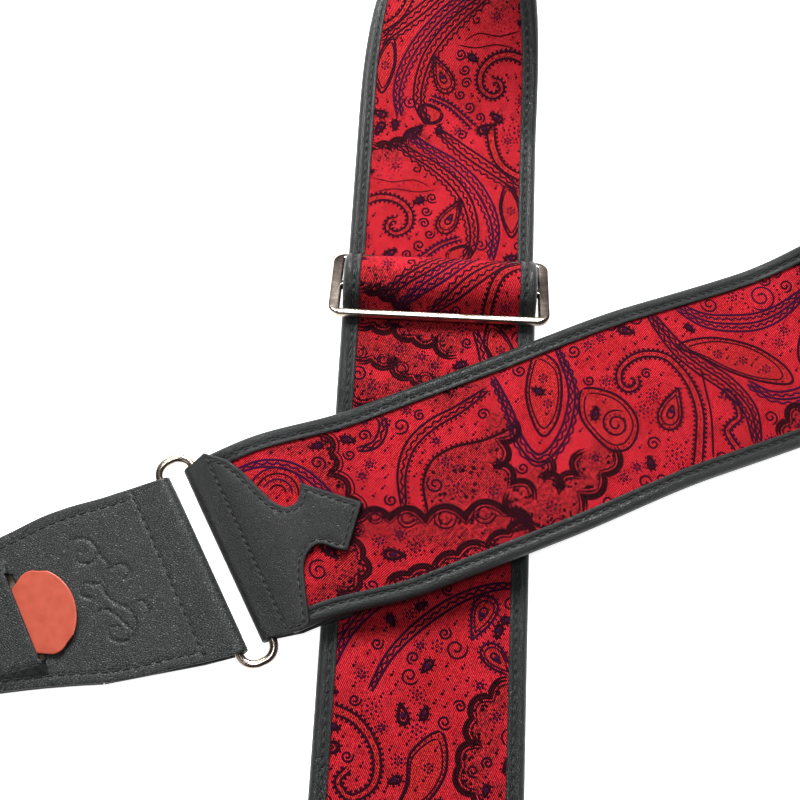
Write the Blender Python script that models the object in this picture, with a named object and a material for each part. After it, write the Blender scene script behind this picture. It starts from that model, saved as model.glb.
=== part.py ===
"""Wide jacquard guitar strap with leather ends, laid out in one open loop.

Metres, +Z up. The strap lies on z = 0. Its diagonal end crosses over its own
straight lower end, the rest stands on edge in a wide turn.
"""
import bpy
import bmesh
from math import sin, cos, pi, radians, degrees, asin, sqrt, atan2, ceil
from mathutils import Vector, Matrix

MM = 0.001

# ---------------------------------------------------------------- dimensions
BAND_W = 60.0            # full width of the strap
BAND_T = 4.0             # thickness at the bound edges
FACE_T = 0.5             # jacquard
PAD_T = 0.8              # foam
LINING_T = 0.5
BIND_T = 0.6             # folded leather edging
BIND_LIP = 5.3           # how far the edging reaches in over the face
GAP = 0.25               # between layers that touch
CORE_HALF = BAND_W / 2 - BIND_T - GAP - 0.6   # half width of face, foam and lining

LAYER_STEP = BAND_T + 0.3      # one band lying on another
REST_Z = 2.3                   # mid-plane of a band lying on the table

CROSS = Vector((10.75, -28.95))  # where the diagonal passes over the straight end
DIAG_DEG = 24.5                  # heading of the diagonal end
END_Z = 9.4                      # the end is held up by the layers it crosses
OVER_Z = 16.1                    # mid-plane where it lies over them
END_DEG = 29.5                   # heading of its last few centimetres
S_RING = -62.4                   # wrap's ring bar, measured back from the crossing
S_END = -56.0                    # cut end of the band, inside the wrap

TURN_START = 155.0       # from the crossing to where the turn begins
TURN_RAMP = 80.0         # length over which the turn tightens
ROLL_START = 118.0       # from the crossing to where the band starts to stand up
ROLL_LEN = 140.0

SLIDER_TILT = 22.0       # degrees, far bar down
BAR_PITCH = 12.5         # between neighbouring bars of the slider
BAR_T = 2.4
BAR_R = BAR_T / 2
SLIDER_IN = 61.6         # inside width of the slider
SLIDER_ARM = 3.7
NEAR_Y = 22.3            # near bar of the slider
WRAP_R = BAR_R + 0.45 + BAND_T / 2       # band's mid-line round the outer bars
LOOP_R = BAR_R + 0.55 + BAND_T / 2       # sewn end round the centre bar
HUMP_R = LOOP_R + LAYER_STEP             # band over the sewn end
FOLD_Y = 1.0             # edge of the sewn end

RING_ROD = 2.6           # wire of the two rings
RING_PITCH = 10.3        # between the ring's long bars
FRONT_RING_LEN = 67.0    # over the rod's centre lines
REAR_RING_LEN = 70.6     # the full band loops on this one
RING_CORNER = 4.4
REAR_Y = -165.0          # band's fold round the rear ring

LEA_T = 1.3              # leather
CORE_T = 1.0             # stiffener in the leather ends
TUBE_R = RING_ROD / 2 + 0.3 + LEA_T / 2
WRAP_V = BAND_T / 2 + 0.25 + LEA_T / 2   # leather over the band's surface

END_LEN = 132.0          # ring bar to tip of a leather end
BACK_LEG = 38.0          # turned-under part of a leather end
HOLE_T = 112.0           # button hole, from the ring bar
HOLE_R = 4.0
KEY_LEN = 11.0           # slit that opens the button hole
POCKET_T = 50.0          # pick slot, from the ring bar
POCKET_C = -1.85           # and off the leather's centre line
POCKET_HALF = 13.7
PICK_T = 0.7
PICK_L = 30.0
PICK_OUT = 14.3          # how far the pick stands out of its slot
PICK_C = -2.85           # off the leather's centre line

TABLE_GAP = 0.2


# ---------------------------------------------------------------- scene setup
for ob in list(bpy.data.objects):
    bpy.data.objects.remove(ob, do_unlink=True)
for block in (bpy.data.meshes, bpy.data.curves, bpy.data.materials):
    for item in list(block):
        block.remove(item)
for coll in list(bpy.data.collections):
    bpy.data.collections.remove(coll)

scene = bpy.context.scene
strap = bpy.data.collections.new("guitar_strap")
scene.collection.children.link(strap)


def material(name, colour, rough, metal=0.0):
    mat = bpy.data.materials.new(name)
    mat.use_nodes = True
    shader = mat.node_tree.nodes["Principled BSDF"]
    shader.inputs["Base Color"].default_value = (*colour, 1.0)
    shader.inputs["Roughness"].default_value = rough
    shader.inputs["Metallic"].default_value = metal
    mat.diffuse_color = (*colour, 1.0)
    return mat


RED = material("jacquard", (0.55, 0.02, 0.03), 0.7)
FOAM = material("foam", (0.08, 0.08, 0.08), 0.9)
SUEDE = material("lining_suede", (0.03, 0.03, 0.03), 0.9)
EDGE = material("edging_leather", (0.035, 0.035, 0.035), 0.45)
LEATHER = material("leather", (0.045, 0.045, 0.045), 0.5)
BOARD = material("stiffener", (0.2, 0.17, 0.14), 0.8)
NICKEL = material("nickel", (0.72, 0.66, 0.6), 0.22, 1.0)
CORAL = material("pick_plastic", (0.85, 0.12, 0.1), 0.35)


def smooth(a, b, x):
    t = min(max((x - a) / (b - a), 0.0), 1.0)
    return t * t * (3 - 2 * t)


def add_object(name, bm, mat):
    bmesh.ops.recalc_face_normals(bm, faces=bm.faces)
    if bm.calc_volume(signed=True) < 0:
        bmesh.ops.reverse_faces(bm, faces=bm.faces)
    mesh = bpy.data.meshes.new(name)
    bm.to_mesh(mesh)
    bm.free()
    mesh.materials.append(mat)
    ob = bpy.data.objects.new(name, mesh)
    strap.objects.link(ob)
    return ob


# ---------------------------------------------------------------- band's path
class Frame:
    """A point on a path with the band's own directions there."""

    def __init__(self, pos, along, roll=0.0, left=None):
        self.p = Vector(pos)
        self.t = Vector(along).normalized()
        if left is None:
            flat = Vector((-self.t.y, self.t.x, 0.0)).normalized()
            up = self.t.cross(flat)
            self.l = flat * cos(roll) + up * sin(roll)
        else:
            self.l = Vector(left)
        self.n = self.t.cross(self.l)

    def at(self, u, v, along=0.0):
        return (self.p + self.t * along + self.l * u + self.n * v) * MM


def heading(deg):
    return Vector((cos(radians(deg)), sin(radians(deg))))


TURN = radians(270.0 - DIAG_DEG)


def bend(s, length):
    """Curvature of the band's plan, s measured from the crossing."""
    a = s - TURN_START
    if a <= 0 or a >= length:
        return 0.0
    k = TURN / (length - TURN_RAMP)
    return k * min(a / TURN_RAMP, 1.0, (length - a) / TURN_RAMP)


def plan(length, step=1.0):
    """Points of the plan from the crossing round the turn."""
    pos = CROSS.copy()
    ang = radians(DIAG_DEG)
    pts = [(0.0, pos.copy(), ang)]
    s = 0.0
    end = TURN_START + length
    while s < end - 1e-9:
        h = min(step, end - s)
        mid = ang + bend(s + h / 2, length) * h / 2
        pos = pos + Vector((cos(mid), sin(mid))) * h
        ang = ang + bend(s + h / 2, length) * h
        s += h
        pts.append((s, pos.copy(), ang))
    return pts


low, high = 300.0, 1100.0
for _ in range(34):
    mid_len = (low + high) / 2
    if plan(mid_len, 4.0)[-1][1].x < CROSS.x:
        high = mid_len
    else:
        low = mid_len
TURN_LEN = (low + high) / 2
PLAN = plan(TURN_LEN)
S_STRAIGHT = PLAN[-1][0]
Y_STRAIGHT = PLAN[-1][1].y

NEAR_Z = REST_Z + WRAP_R + 2 * BAR_PITCH * sin(radians(SLIDER_TILT))
CENTRE_Y = NEAR_Y + BAR_PITCH * cos(radians(SLIDER_TILT))
CENTRE_Z = NEAR_Z - BAR_PITCH * sin(radians(SLIDER_TILT))
FAR_Y = NEAR_Y + 2 * BAR_PITCH * cos(radians(SLIDER_TILT))
FAR_Z = REST_Z + WRAP_R
SPLIT_Y = FAR_Y + 1.6        # band's main length ends here, under the far bar
S_LAST = S_STRAIGHT + Y_STRAIGHT - (SPLIT_Y + 0.3)


def lateral(s):
    """Sideways drift of the laid end off its straight line."""
    near = smooth(-45.0, -12.0, s)
    return 1.8 * (1 - near) - 2.2 * near * (1 - smooth(30.0, 80.0, s))


def plan_at(s):
    """Plan position and heading; the laid end drifts sideways without turning."""
    pos, ang = plain_plan(s)
    if s < 80.0:
        pos = pos + Vector((-sin(radians(DIAG_DEG)), cos(radians(DIAG_DEG)))) * lateral(s)
    return pos, ang


def plain_plan(s):
    if s < 0:
        # the last centimetres before the ring swing round a little
        return (CROSS + heading(DIAG_DEG) * s,
                radians(DIAG_DEG + (END_DEG - DIAG_DEG) * smooth(-34.0, -56.0, s)))
    if s >= S_STRAIGHT:
        return Vector((CROSS.x, Y_STRAIGHT - (s - S_STRAIGHT))), radians(270.0)
    i = min(int(s), len(PLAN) - 2)
    s0, p0, a0 = PLAN[i]
    s1, p1, a1 = PLAN[i + 1]
    f = (s - s0) / (s1 - s0)
    return p0.lerp(p1, f), a0 + (a1 - a0) * f


MIRROR_S = S_STRAIGHT + TURN_START          # crossing again, along the other end


def roll_at(s):
    near = min(s, MIRROR_S - s)
    return radians(90.0) * smooth(ROLL_START, ROLL_START + ROLL_LEN, near)


def height_at(s):
    if s < 200.0:
        z = (END_Z + (12.9 - END_Z) * smooth(S_RING - 4.0, -45.0, s)
             + (OVER_Z - 12.9) * smooth(-40.0, -10.0, s)
             - (OVER_Z - REST_Z) * smooth(33.0, 135.0, s))
    else:
        z = REST_Z
    return z + BAND_W / 2 * sin(roll_at(s)) * 1.005


def main_frame(s):
    pos, ang = plan_at(s)
    d = 0.5
    slope = (height_at(s + d) - height_at(s - d)) / (2 * d)
    return Frame((pos.x, pos.y, height_at(s)), (cos(ang), sin(ang), slope), roll_at(s))


def stations(parts):
    out = []
    for a, b, step in parts:
        n = max(1, ceil((b - a) / step - 1e-6))
        out += [a + (b - a) * i / n for i in range(n)]
    return out + [parts[-1][1]]


ROLLED = ROLL_START + ROLL_LEN
MAIN_S = stations([(S_END, -6.0, 6.5), (-6.0, 33.0, 13.0), (33.0, ROLL_START, 10.0),
                   (ROLL_START, ROLLED, 10.0), (ROLLED, MIRROR_S - ROLLED, 16.0),
                   (MIRROR_S - ROLLED, MIRROR_S - ROLL_START, 10.0),
                   (MIRROR_S - ROLL_START, S_LAST, 40.0)])
MAIN = [main_frame(s) for s in MAIN_S]


# ------------------------------------------- path of the adjusting length
class Route:
    """Side view of the adjusting length: y, z and heading, built from arcs."""

    def __init__(self, y, z, deg):
        self.pts = [(y, z, deg)]

    @property
    def last(self):
        return self.pts[-1]

    def line(self, length, step=1000.0):
        y, z, d = self.last
        n = max(1, ceil(length / step))
        for i in range(1, n + 1):
            self.pts.append((y + cos(radians(d)) * length * i / n,
                             z + sin(radians(d)) * length * i / n, d))

    def arc(self, r, turn, step=14.0):
        """turn > 0 is to the left of travel in the y-z view."""
        y, z, d = self.last
        side = 1 if turn > 0 else -1
        cy = y - side * r * sin(radians(d))
        cz = z + side * r * cos(radians(d))
        n = max(1, ceil(abs(turn) / step))
        for i in range(1, n + 1):
            e = d + turn * i / n
            self.pts.append((cy + side * r * sin(radians(e)),
                             cz - side * r * cos(radians(e)), e))

    def ease(self, y1, z1, n):
        """Smooth change of level while running level in y."""
        y0, z0, d = self.last
        for i in range(1, n + 1):
            f = i / n
            slope = (z1 - z0) / abs(y1 - y0) * 6 * f * (1 - f)
            way = 1 if y1 > y0 else -1
            turn = degrees(atan2(slope, 1.0)) * way
            self.pts.append((y0 + (y1 - y0) * f, z0 + (z1 - z0) * f * f * (3 - 2 * f), d + turn))


steep = degrees(asin((WRAP_R + HUMP_R) / BAR_PITCH))
straight = sqrt(BAR_PITCH ** 2 - (WRAP_R + HUMP_R) ** 2)

route = Route(SPLIT_Y, REST_Z, 180.0)
route.line(SPLIT_Y - FAR_Y)
route.arc(WRAP_R, -(steep + SLIDER_TILT))             # up round the far bar
route.line(straight)
route.arc(HUMP_R, 2 * steep)                          # over the centre bar
route.line(straight)
route.arc(WRAP_R, -(steep - SLIDER_TILT))             # and under the near bar
UNDER_NEAR_Z = NEAR_Z - WRAP_R
TRIPLE_Z = REST_Z + 2 * LAYER_STEP
route.ease(NEAR_Y - 11.0, TRIPLE_Z, 3)
route.line(NEAR_Y - 11.0 - (FOLD_Y - 1.0))
route.ease(FOLD_Y - 22.0, REST_Z + LAYER_STEP, 7)
RING_FOLD_R = RING_ROD / 2 + 0.4 + BAND_T / 2
route.line(FOLD_Y - 22.0 - (REAR_Y + 30.0))
route.ease(REAR_Y, REST_Z + 2 * RING_FOLD_R, 7)
route.arc(RING_FOLD_R, 180.0)                         # round the rear ring
RETURN_DEG = 21.0                                     # climb to the centre bar
y_leave = CENTRE_Y + LOOP_R * sin(radians(RETURN_DEG))
z_leave = CENTRE_Z - LOOP_R * cos(radians(RETURN_DEG))
BEND_R = 12.0
rise = z_leave - REST_Z
bend_z = BEND_R * (1 - cos(radians(RETURN_DEG)))
bend_y = BEND_R * sin(radians(RETURN_DEG))
climb = (rise - bend_z) / sin(radians(RETURN_DEG))
y_bend = y_leave - climb * cos(radians(RETURN_DEG)) - bend_y
route.line(y_bend - REAR_Y)
route.arc(BEND_R, RETURN_DEG, 7.5)
route.line(climb)
route.arc(LOOP_R, 180.0 - RETURN_DEG + (steep - SLIDER_TILT), 14.0)
route.line(straight)
route.arc(WRAP_R + LAYER_STEP, -(steep - SLIDER_TILT))
route.ease(NEAR_Y - 11.0, REST_Z + LAYER_STEP, 3)
route.line(NEAR_Y - 11.0 - FOLD_Y)

TAIL = [Frame((CROSS.x, y, z), (0.0, cos(radians(d)), sin(radians(d))), left=(1.0, 0.0, 0.0))
        for y, z, d in route.pts]


# ---------------------------------------------------------------- the band
def sweep(name, frames, section, mat):
    bm = bmesh.new()
    rings = [[bm.verts.new(f.at(u, v)) for u, v in section] for f in frames]
    n = len(section)
    for a, b in zip(rings, rings[1:]):
        for i in range(n):
            j = (i + 1) % n
            # every layer is split along the same diagonal, so that they nest where the band twists
            if section[i][0] < section[j][0]:
                bm.faces.new((a[i], a[j], b[j]))
                bm.faces.new((a[i], b[j], b[i]))
            else:
                bm.faces.new((a[i], a[j], b[i]))
                bm.faces.new((a[j], b[j], b[i]))
    bm.faces.new(rings[0][::-1])
    bm.faces.new(rings[-1])
    return add_object(name, bm, mat)


def slab(half, v0, v1, inner=None):
    if inner is None:
        return [(-half, v0), (half, v0), (half, v1), (-half, v1)]
    us = [-half, -inner, inner, half]
    return [(u, v0) for u in us] + [(u, v1) for u in reversed(us)]


def channel(side):
    """Leather folded round one edge of the band."""
    o, t = BAND_W / 2, BAND_T / 2
    inn = o - BIND_LIP
    pts = [(inn, t), (o, t), (o, -t), (inn, -t),
           (inn, -t + BIND_T), (o - BIND_T, -t + BIND_T),
           (o - BIND_T, t - BIND_T), (inn, t - BIND_T)]
    return [(side * u, v) for u, v in pts]


PAD_H = PAD_T / 2
for prefix, frames, row in (("main", MAIN, BAND_W / 2 - BIND_LIP - 0.3), ("tail", TAIL, None)):
    sweep(prefix + "_face", frames, slab(CORE_HALF, PAD_H + GAP, PAD_H + GAP + FACE_T, row), RED)
    sweep(prefix + "_padding", frames, slab(CORE_HALF, -PAD_H, PAD_H, row), FOAM)
    sweep(prefix + "_lining", frames, slab(CORE_HALF, -PAD_H - GAP - LINING_T, -PAD_H - GAP, row), SUEDE)
    sweep(prefix + "_binding_left", frames, channel(1), EDGE)
    sweep(prefix + "_binding_right", frames, channel(-1), EDGE)


# ---------------------------------------------------------------- flat leather
def flat_plate(outline, holes, thick):
    """Closed plate lying in x-y, from outlines in millimetres."""
    curve = bpy.data.curves.new("outline", "CURVE")
    curve.dimensions = "2D"
    curve.fill_mode = "BOTH"
    curve.extrude = thick / 2
    for pts in [outline] + holes:
        spline = curve.splines.new("POLY")
        spline.points.add(len(pts) - 1)
        for p, (x, y) in zip(spline.points, pts):
            p.co = (x, y, 0.0, 1.0)
        spline.use_cyclic_u = True
    ob = bpy.data.objects.new("outline", curve)
    strap.objects.link(ob)
    bpy.context.view_layer.update()
    mesh = bpy.data.meshes.new_from_object(ob)
    bm = bmesh.new()
    bm.from_mesh(mesh)
    bpy.data.objects.remove(ob, do_unlink=True)
    bpy.data.curves.remove(curve)
    bpy.data.meshes.remove(mesh)
    bmesh.ops.remove_doubles(bm, verts=bm.verts, dist=0.0001)
    bmesh.ops.dissolve_limit(bm, angle_limit=0.001, verts=bm.verts, edges=bm.edges)
    return bm


def cut(bm, axis, at, box=None):
    """Add a row of edges across the plate, so that it can bend there."""
    co = Vector((at, 0, 0)) if axis == "x" else Vector((0, at, 0))
    no = Vector((1, 0, 0)) if axis == "x" else Vector((0, 1, 0))
    geom = bm.verts[:] + bm.edges[:] + bm.faces[:]
    if box:
        x0, x1, y0, y1 = box
        faces = [f for f in bm.faces
                 if x0 < f.calc_center_median().x < x1 and y0 < f.calc_center_median().y < y1]
        edges = {e for f in faces for e in f.edges}
        verts = {v for f in faces for v in f.verts}
        geom = list(verts) + list(edges) + faces
    bmesh.ops.bisect_plane(bm, geom=geom, dist=0.00001, plane_co=co, plane_no=no)


def spline_through(points, n):
    """Catmull-Rom through (t, h) points."""
    out = []
    pts = [points[0]] + list(points) + [points[-1]]
    for i in range(1, len(pts) - 2):
        p0, p1, p2, p3 = (Vector(p) for p in pts[i - 1:i + 3])
        for j in range(n):
            f = j / n
            out.append(tuple(0.5 * ((2 * p1) + (p2 - p0) * f + (2 * p0 - 5 * p1 + 4 * p2 - p3) * f * f
                                    + (3 * p1 - p0 - 3 * p2 + p3) * f ** 3)))
    out.append(tuple(points[-1]))
    return out


def arc_points(cx, cy, r, a0, a1, n):
    return [(cx + r * cos(radians(a0 + (a1 - a0) * i / n)),
             cy + r * sin(radians(a0 + (a1 - a0) * i / n))) for i in range(n + 1)]


TUBE_HALF = pi * TUBE_R / 2


def tube_profile(x, leg_v, ease=9.0):
    """x is distance along the unrolled leather from the outermost point of the tube.
    Returns distance from the bar's axis towards the legs, and height over the mid-plane."""
    side = 1 if x >= 0 else -1
    a = abs(x)
    if a <= TUBE_HALF:
        ang = a / TUBE_R
        return -TUBE_R * cos(ang), side * TUBE_R * sin(ang), ang, side
    d = a - TUBE_HALF
    return d, side * (TUBE_R + (leg_v - TUBE_R) * smooth(0.0, ease, d)), None, side


def tube_point(x, leg_v, off, ease=9.0):
    """As tube_profile, off millimetres outside the leather's mid-line."""
    d, v, ang, side = tube_profile(x, leg_v, ease)
    if ang is not None:
        return -(TUBE_R + off) * cos(ang), side * (TUBE_R + off) * sin(ang)
    return d, v + side * off


# wrap that joins the band to the front ring; its upper leg ends in an ornamental patch
RING_FRAME = main_frame(S_RING)
WRAP_HALF = 30.4
WRAP_BAR_HALF = 28.7      # narrower round the ring


def from_patch(pts):
    return [(TUBE_HALF + d, u) for d, u in pts]


# patch outline: distance from the ring bar, and distance left of the band's middle
upper = [(5.5, 30.4), (7.4, 28.5), (10.4, 25.5), (12.9, 20.0), (14.9, 13.5), (16.9, 7.8), (19.4, 5.0),
         (22.4, 5.3), (24.6, 7.6), (25.9, 11.0)]
neck = [(31.9, -12.5), (28.9, -11.2), (25.4, -8.9), (22.4, -9.0), (19.4, -11.1), (17.4, -14.2), (15.9, -18.8),
        (14.0, -25.0), (13.0, -28.2)]
edge_up = spline_through(upper, 3)
edge_dn = spline_through(neck, 3)
patch = edge_up + [(40.9, 0.8)] + edge_dn + [(12.4, -29.6), (11.4, -WRAP_HALF), (9.0, -WRAP_HALF)]
outline = from_patch(patch) + [(TUBE_HALF, -WRAP_BAR_HALF), (-TUBE_HALF, -WRAP_BAR_HALF),
                               (-TUBE_HALF - 8.0, -WRAP_HALF),
                               (-TUBE_HALF - 26.0, -WRAP_HALF), (-TUBE_HALF - 27.0, -29.4),
                               (-TUBE_HALF - 27.0, 29.4), (-TUBE_HALF - 26.0, WRAP_HALF),
                               (-TUBE_HALF - 8.0, WRAP_HALF),
                               (-TUBE_HALF, WRAP_BAR_HALF), (TUBE_HALF, WRAP_BAR_HALF)]
bm = flat_plate(outline, [], LEA_T)
for i in range(13):
    cut(bm, "x", -TUBE_HALF + i * TUBE_HALF / 6)
for d in (2.5, 4.5, 6.5, 9.0, 15.0, 21.0, 26.9):
    cut(bm, "x", TUBE_HALF + d)
    cut(bm, "x", -TUBE_HALF - d)
for d in (33.0, 37.5):
    cut(bm, "x", TUBE_HALF + d)
for v in bm.verts:
    d, w = tube_point(v.co.x, WRAP_V, v.co.z)
    frame = main_frame(S_RING + max(d, 0.0))
    extra = min(d, 0.0)
    v.co = frame.at(v.co.y, w, extra)
add_object("front_wrap", bm, LEATHER)


# ---------------------------------------------------------------- rings
def ring(name, centre, along, left, length):
    """Rectangular wire ring; along and left are directions, centre is its middle."""
    along, left = Vector(along).normalized(), Vector(left).normalized()
    up = along.cross(left)
    hx, hy, r = RING_PITCH / 2, length / 2, RING_CORNER
    path = []
    for sx, sy, a0 in ((1, 1, 0), (-1, 1, 90), (-1, -1, 180), (1, -1, 270)):
        for i in range(6):
            a = radians(a0 + 18.0 * i)
            path.append((Vector((sx * (hx - r) + r * cos(a), sy * (hy - r) + r * sin(a))), a))
    bm = bmesh.new()
    loops = []
    for p, a in path:
        out = along * cos(a) + left * sin(a)
        base = Vector(centre) + along * p.x + left * p.y
        loops.append([bm.verts.new((base + out * (RING_ROD / 2 * cos(2 * pi * k / 10))
                                    + up * (RING_ROD / 2 * sin(2 * pi * k / 10))) * MM)
                      for k in range(10)])
    n = len(loops)
    for i in range(n):
        a, b = loops[i], loops[(i + 1) % n]
        for k in range(10):
            bm.faces.new((a[k], a[(k + 1) % 10], b[(k + 1) % 10], b[k]))
    return add_object(name, bm, NICKEL)


BAR_A = RING_FRAME.p.copy()
dir_end = Vector((RING_FRAME.t.x, RING_FRAME.t.y, 0.0)).normalized()
left_end = Vector((-dir_end.y, dir_end.x, 0.0))
BAR_B = BAR_A - dir_end * RING_PITCH
ring("front_ring", (BAR_A + BAR_B) / 2, dir_end, left_end, FRONT_RING_LEN)

REAR_BAR = Vector((CROSS.x, REAR_Y, REST_Z + RING_FOLD_R))
REAR_BAR_B = REAR_BAR - Vector((0.0, RING_PITCH, 0.0))
ring("rear_ring", (REAR_BAR + REAR_BAR_B) / 2, (0, 1, 0), (-1, 0, 0), REAR_RING_LEN)


# ---------------------------------------------------------------- leather ends
HALF_WIDTHS = [(0.0, 28.8), (9.0, 28.5), (18.0, 28.0), (27.0, 27.9), (36.0, 27.0), (46.0, 24.8), (58.0, 22.5),
               (72.0, 20.5), (86.0, 19.2), (100.0, 18.4), (114.0, 18.0)]
END_HALF = 28.8
FRONT_SKEW = 0.21         # the front end leans to one side


def tongue(inset=0.0, start=0.0):
    """Outline of a leather end from its straight edge to the round tip and back."""
    side = [(t, h) for t, h in spline_through(HALF_WIDTHS, 3) if t > start + 0.5]
    first = [(start, next(h for t, h in spline_through(HALF_WIDTHS, 6) if t >= start))]
    up = [(t, h - inset) for t, h in first + side]
    tip = arc_points(114.0, 0.0, 18.0 - inset, 90, -90, 14)
    down = [(t, -h) for t, h in reversed(up)]
    return up[:-1] + tip + down[1:]


def button_hole():
    """Round hole with a slit running towards the tip."""
    half = 0.5
    a = degrees(asin(half / HOLE_R))
    return (arc_points(HOLE_T, 0.0, HOLE_R, a, 360 - a, 18)
            + [(HOLE_T + HOLE_R + KEY_LEN, -half), (HOLE_T + HOLE_R + KEY_LEN, half)])


def pick_slot():
    t0, t1 = POCKET_T, POCKET_T + 1.2
    return [(t0, POCKET_C - POCKET_HALF), (t1, POCKET_C - POCKET_HALF),
            (t1, POCKET_C + POCKET_HALF), (t0, POCKET_C + POCKET_HALF)]


POCKET_LIFT = 2.8
PICK_TILT = radians(5.2)


def pocket_bump(t, u):
    """Lift of the top leather over the pick, on the tip's side of the slot."""
    if t < POCKET_T + 0.7:
        return 0.0
    lift = POCKET_LIFT - (t - POCKET_T) * sin(PICK_TILT)
    fall = 1.0 - smooth(POCKET_T + 21.5, POCKET_T + 30.0, t)
    a = abs(u - POCKET_C)
    return lift * fall * (1.0 - smooth(POCKET_HALF + 0.2, POCKET_HALF + 5.5, a))


def leather_end(prefix, bar, along, pitch, skew, pocket):
    """Two leathers over a stiffener; along points from the ring bar to the tip."""
    along = Vector((along[0], along[1], 0.0)).normalized()
    left = Vector((along.y, -along.x, 0.0))
    out = along * cos(radians(pitch)) - Vector((0, 0, 1)) * sin(radians(pitch))
    up = left.cross(out) * -1.0
    if up.z < 0:
        up = -up

    def place(t, u, w):
        return (bar + out * t + left * (u + skew * max(t, 0.0)) + up * w) * MM

    leg_v = CORE_T / 2 + 0.3 + LEA_T / 2
    # top leather, round the ring bar and back underneath
    body = [(TUBE_HALF + t, u) for t, u in tongue()]
    outline = body + [(TUBE_HALF, -END_HALF), (-TUBE_HALF, -END_HALF), (-TUBE_HALF - 10, -END_HALF),
                      (-TUBE_HALF - BACK_LEG, -26.6), (-TUBE_HALF - BACK_LEG, 26.6),
                      (-TUBE_HALF - 10, END_HALF), (-TUBE_HALF, END_HALF), (TUBE_HALF, END_HALF)]
    holes = [[(TUBE_HALF + t, u) for t, u in button_hole()]]
    if pocket:
        holes.append([(TUBE_HALF + t, u) for t, u in pick_slot()])
    bm = flat_plate(outline, holes, LEA_T)
    for i in range(13):
        cut(bm, "x", -TUBE_HALF + i * TUBE_HALF / 6)
    for d in (2.5, 4.5, 6.5, 9.0):
        cut(bm, "x", TUBE_HALF + d)
        cut(bm, "x", -TUBE_HALF - d)
    if pocket:
        t0, t1 = TUBE_HALF + POCKET_T, TUBE_HALF + POCKET_T + 30.0
        cut(bm, "x", t0 - 0.6)
        cut(bm, "x", t0 + 1.2)
        cut(bm, "x", t1)
        box = (t0 + 1.2, t1, -60.0, 60.0)
        for a in (-5.7, -3.7, -1.9, -0.2):
            cut(bm, "y", POCKET_C - POCKET_HALF + a, box)
            cut(bm, "y", POCKET_C + POCKET_HALF - a, box)
        for a in (6.0, 12.0, 17.0, 21.5, 24.5, 27.5):
            cut(bm, "x", t0 + a, box)
    for v in bm.verts:
        d, w = tube_point(v.co.x, leg_v, v.co.z)
        lift = pocket_bump(d, v.co.y) if pocket and v.co.x > 0 else 0.0
        v.co = place(d, v.co.y, w + lift)
    add_object(prefix + "_top", bm, LEATHER)
    # backing from the turned-under edge to the tip
    start = BACK_LEG + 0.4
    bm = flat_plate(tongue(0.0, start), [button_hole()], LEA_T)
    for v in bm.verts:
        v.co = place(v.co.x, v.co.y, -leg_v + v.co.z)
    add_object(prefix + "_backing", bm, LEATHER)
    # stiffener between them
    bm = flat_plate(tongue(3.0, 13.0), [button_hole()], CORE_T)
    for v in bm.verts:
        v.co = place(v.co.x, v.co.y, v.co.z)
    add_object(prefix + "_stiffener", bm, BOARD)
    return place, leg_v


place, leg_v = leather_end("front_end", BAR_B, -dir_end, 3.0, FRONT_SKEW, True)
leather_end("rear_end", REAR_BAR_B, (0.0, -1.0), 1.5, 0.0, False)


# ---------------------------------------------------------------- pick
def pick_outline():
    """Rounded triangle, its round side first, along +x."""
    pts = []
    pts += arc_points(PICK_L - 15.5, 0.0, 15.5, 42, -42, 10)
    pts += arc_points(PICK_L - 10.0, -8.2, 4.8, -48, -110, 4)
    pts += arc_points(3.4, 0.0, 3.4, 233, 127, 5)
    pts += arc_points(PICK_L - 10.0, 8.2, 4.8, 110, 48, 4)
    return pts


bm = flat_plate(pick_outline(), [], PICK_T)
top_w = leg_v + LEA_T / 2
# slides up out of the slot: on top of the leather in front, under it behind
hidden = PICK_L - PICK_OUT


def pick_place(x, u, w):
    """x is 0 at the slot and positive towards the ring; the pick is stiff, so it has no lean."""
    t = POCKET_T - x * cos(PICK_TILT)
    lift = top_w + 0.25 + PICK_T / 2 + x * sin(PICK_TILT) + 0.12
    return place(t, u + PICK_C + FRONT_SKEW * (POCKET_T - t), lift + w)


for v in bm.verts:
    v.co = pick_place(v.co.x - hidden, v.co.y, v.co.z)
pick_ob = add_object("pick", bm, CORAL)

# ---------------------------------------------------------------- slider
BEVEL = 0.6


def round_rect(x0, x1, y0, y1, r, n=5):
    pts = []
    for cx, cy, a0 in ((x1 - r, y1 - r, 0), (x0 + r, y1 - r, 90), (x0 + r, y0 + r, 180), (x1 - r, y0 + r, 270)):
        pts += arc_points(cx, cy, r, a0, a0 + 90, n)
    return pts


HALF_OUT = SLIDER_IN / 2 + SLIDER_ARM
depth_out = BAR_PITCH + BAR_R
curve = bpy.data.curves.new("slider", "CURVE")
curve.dimensions = "2D"
curve.fill_mode = "BOTH"
curve.extrude = BAR_R - BEVEL
curve.bevel_depth = BEVEL
curve.bevel_resolution = 1
window = []
for lo, hi in ((-BAR_PITCH + BAR_R, -BAR_R), (BAR_R, BAR_PITCH - BAR_R)):
    window.append(round_rect(-SLIDER_IN / 2 - BEVEL, SLIDER_IN / 2 + BEVEL, lo - BEVEL, hi + BEVEL, 1.3, 3))
for pts in [round_rect(-HALF_OUT + BEVEL, HALF_OUT - BEVEL, -depth_out + BEVEL, depth_out - BEVEL, 3.2)] + window:
    spline = curve.splines.new("POLY")
    spline.points.add(len(pts) - 1)
    for p, (x, y) in zip(spline.points, pts):
        p.co = (x, y, 0.0, 1.0)
    spline.use_cyclic_u = True
ob = bpy.data.objects.new("slider_outline", curve)
strap.objects.link(ob)
bpy.context.view_layer.update()
mesh = bpy.data.meshes.new_from_object(ob)
bpy.data.objects.remove(ob, do_unlink=True)
bm = bmesh.new()
bm.from_mesh(mesh)
bmesh.ops.remove_doubles(bm, verts=bm.verts, dist=0.0001)
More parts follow.
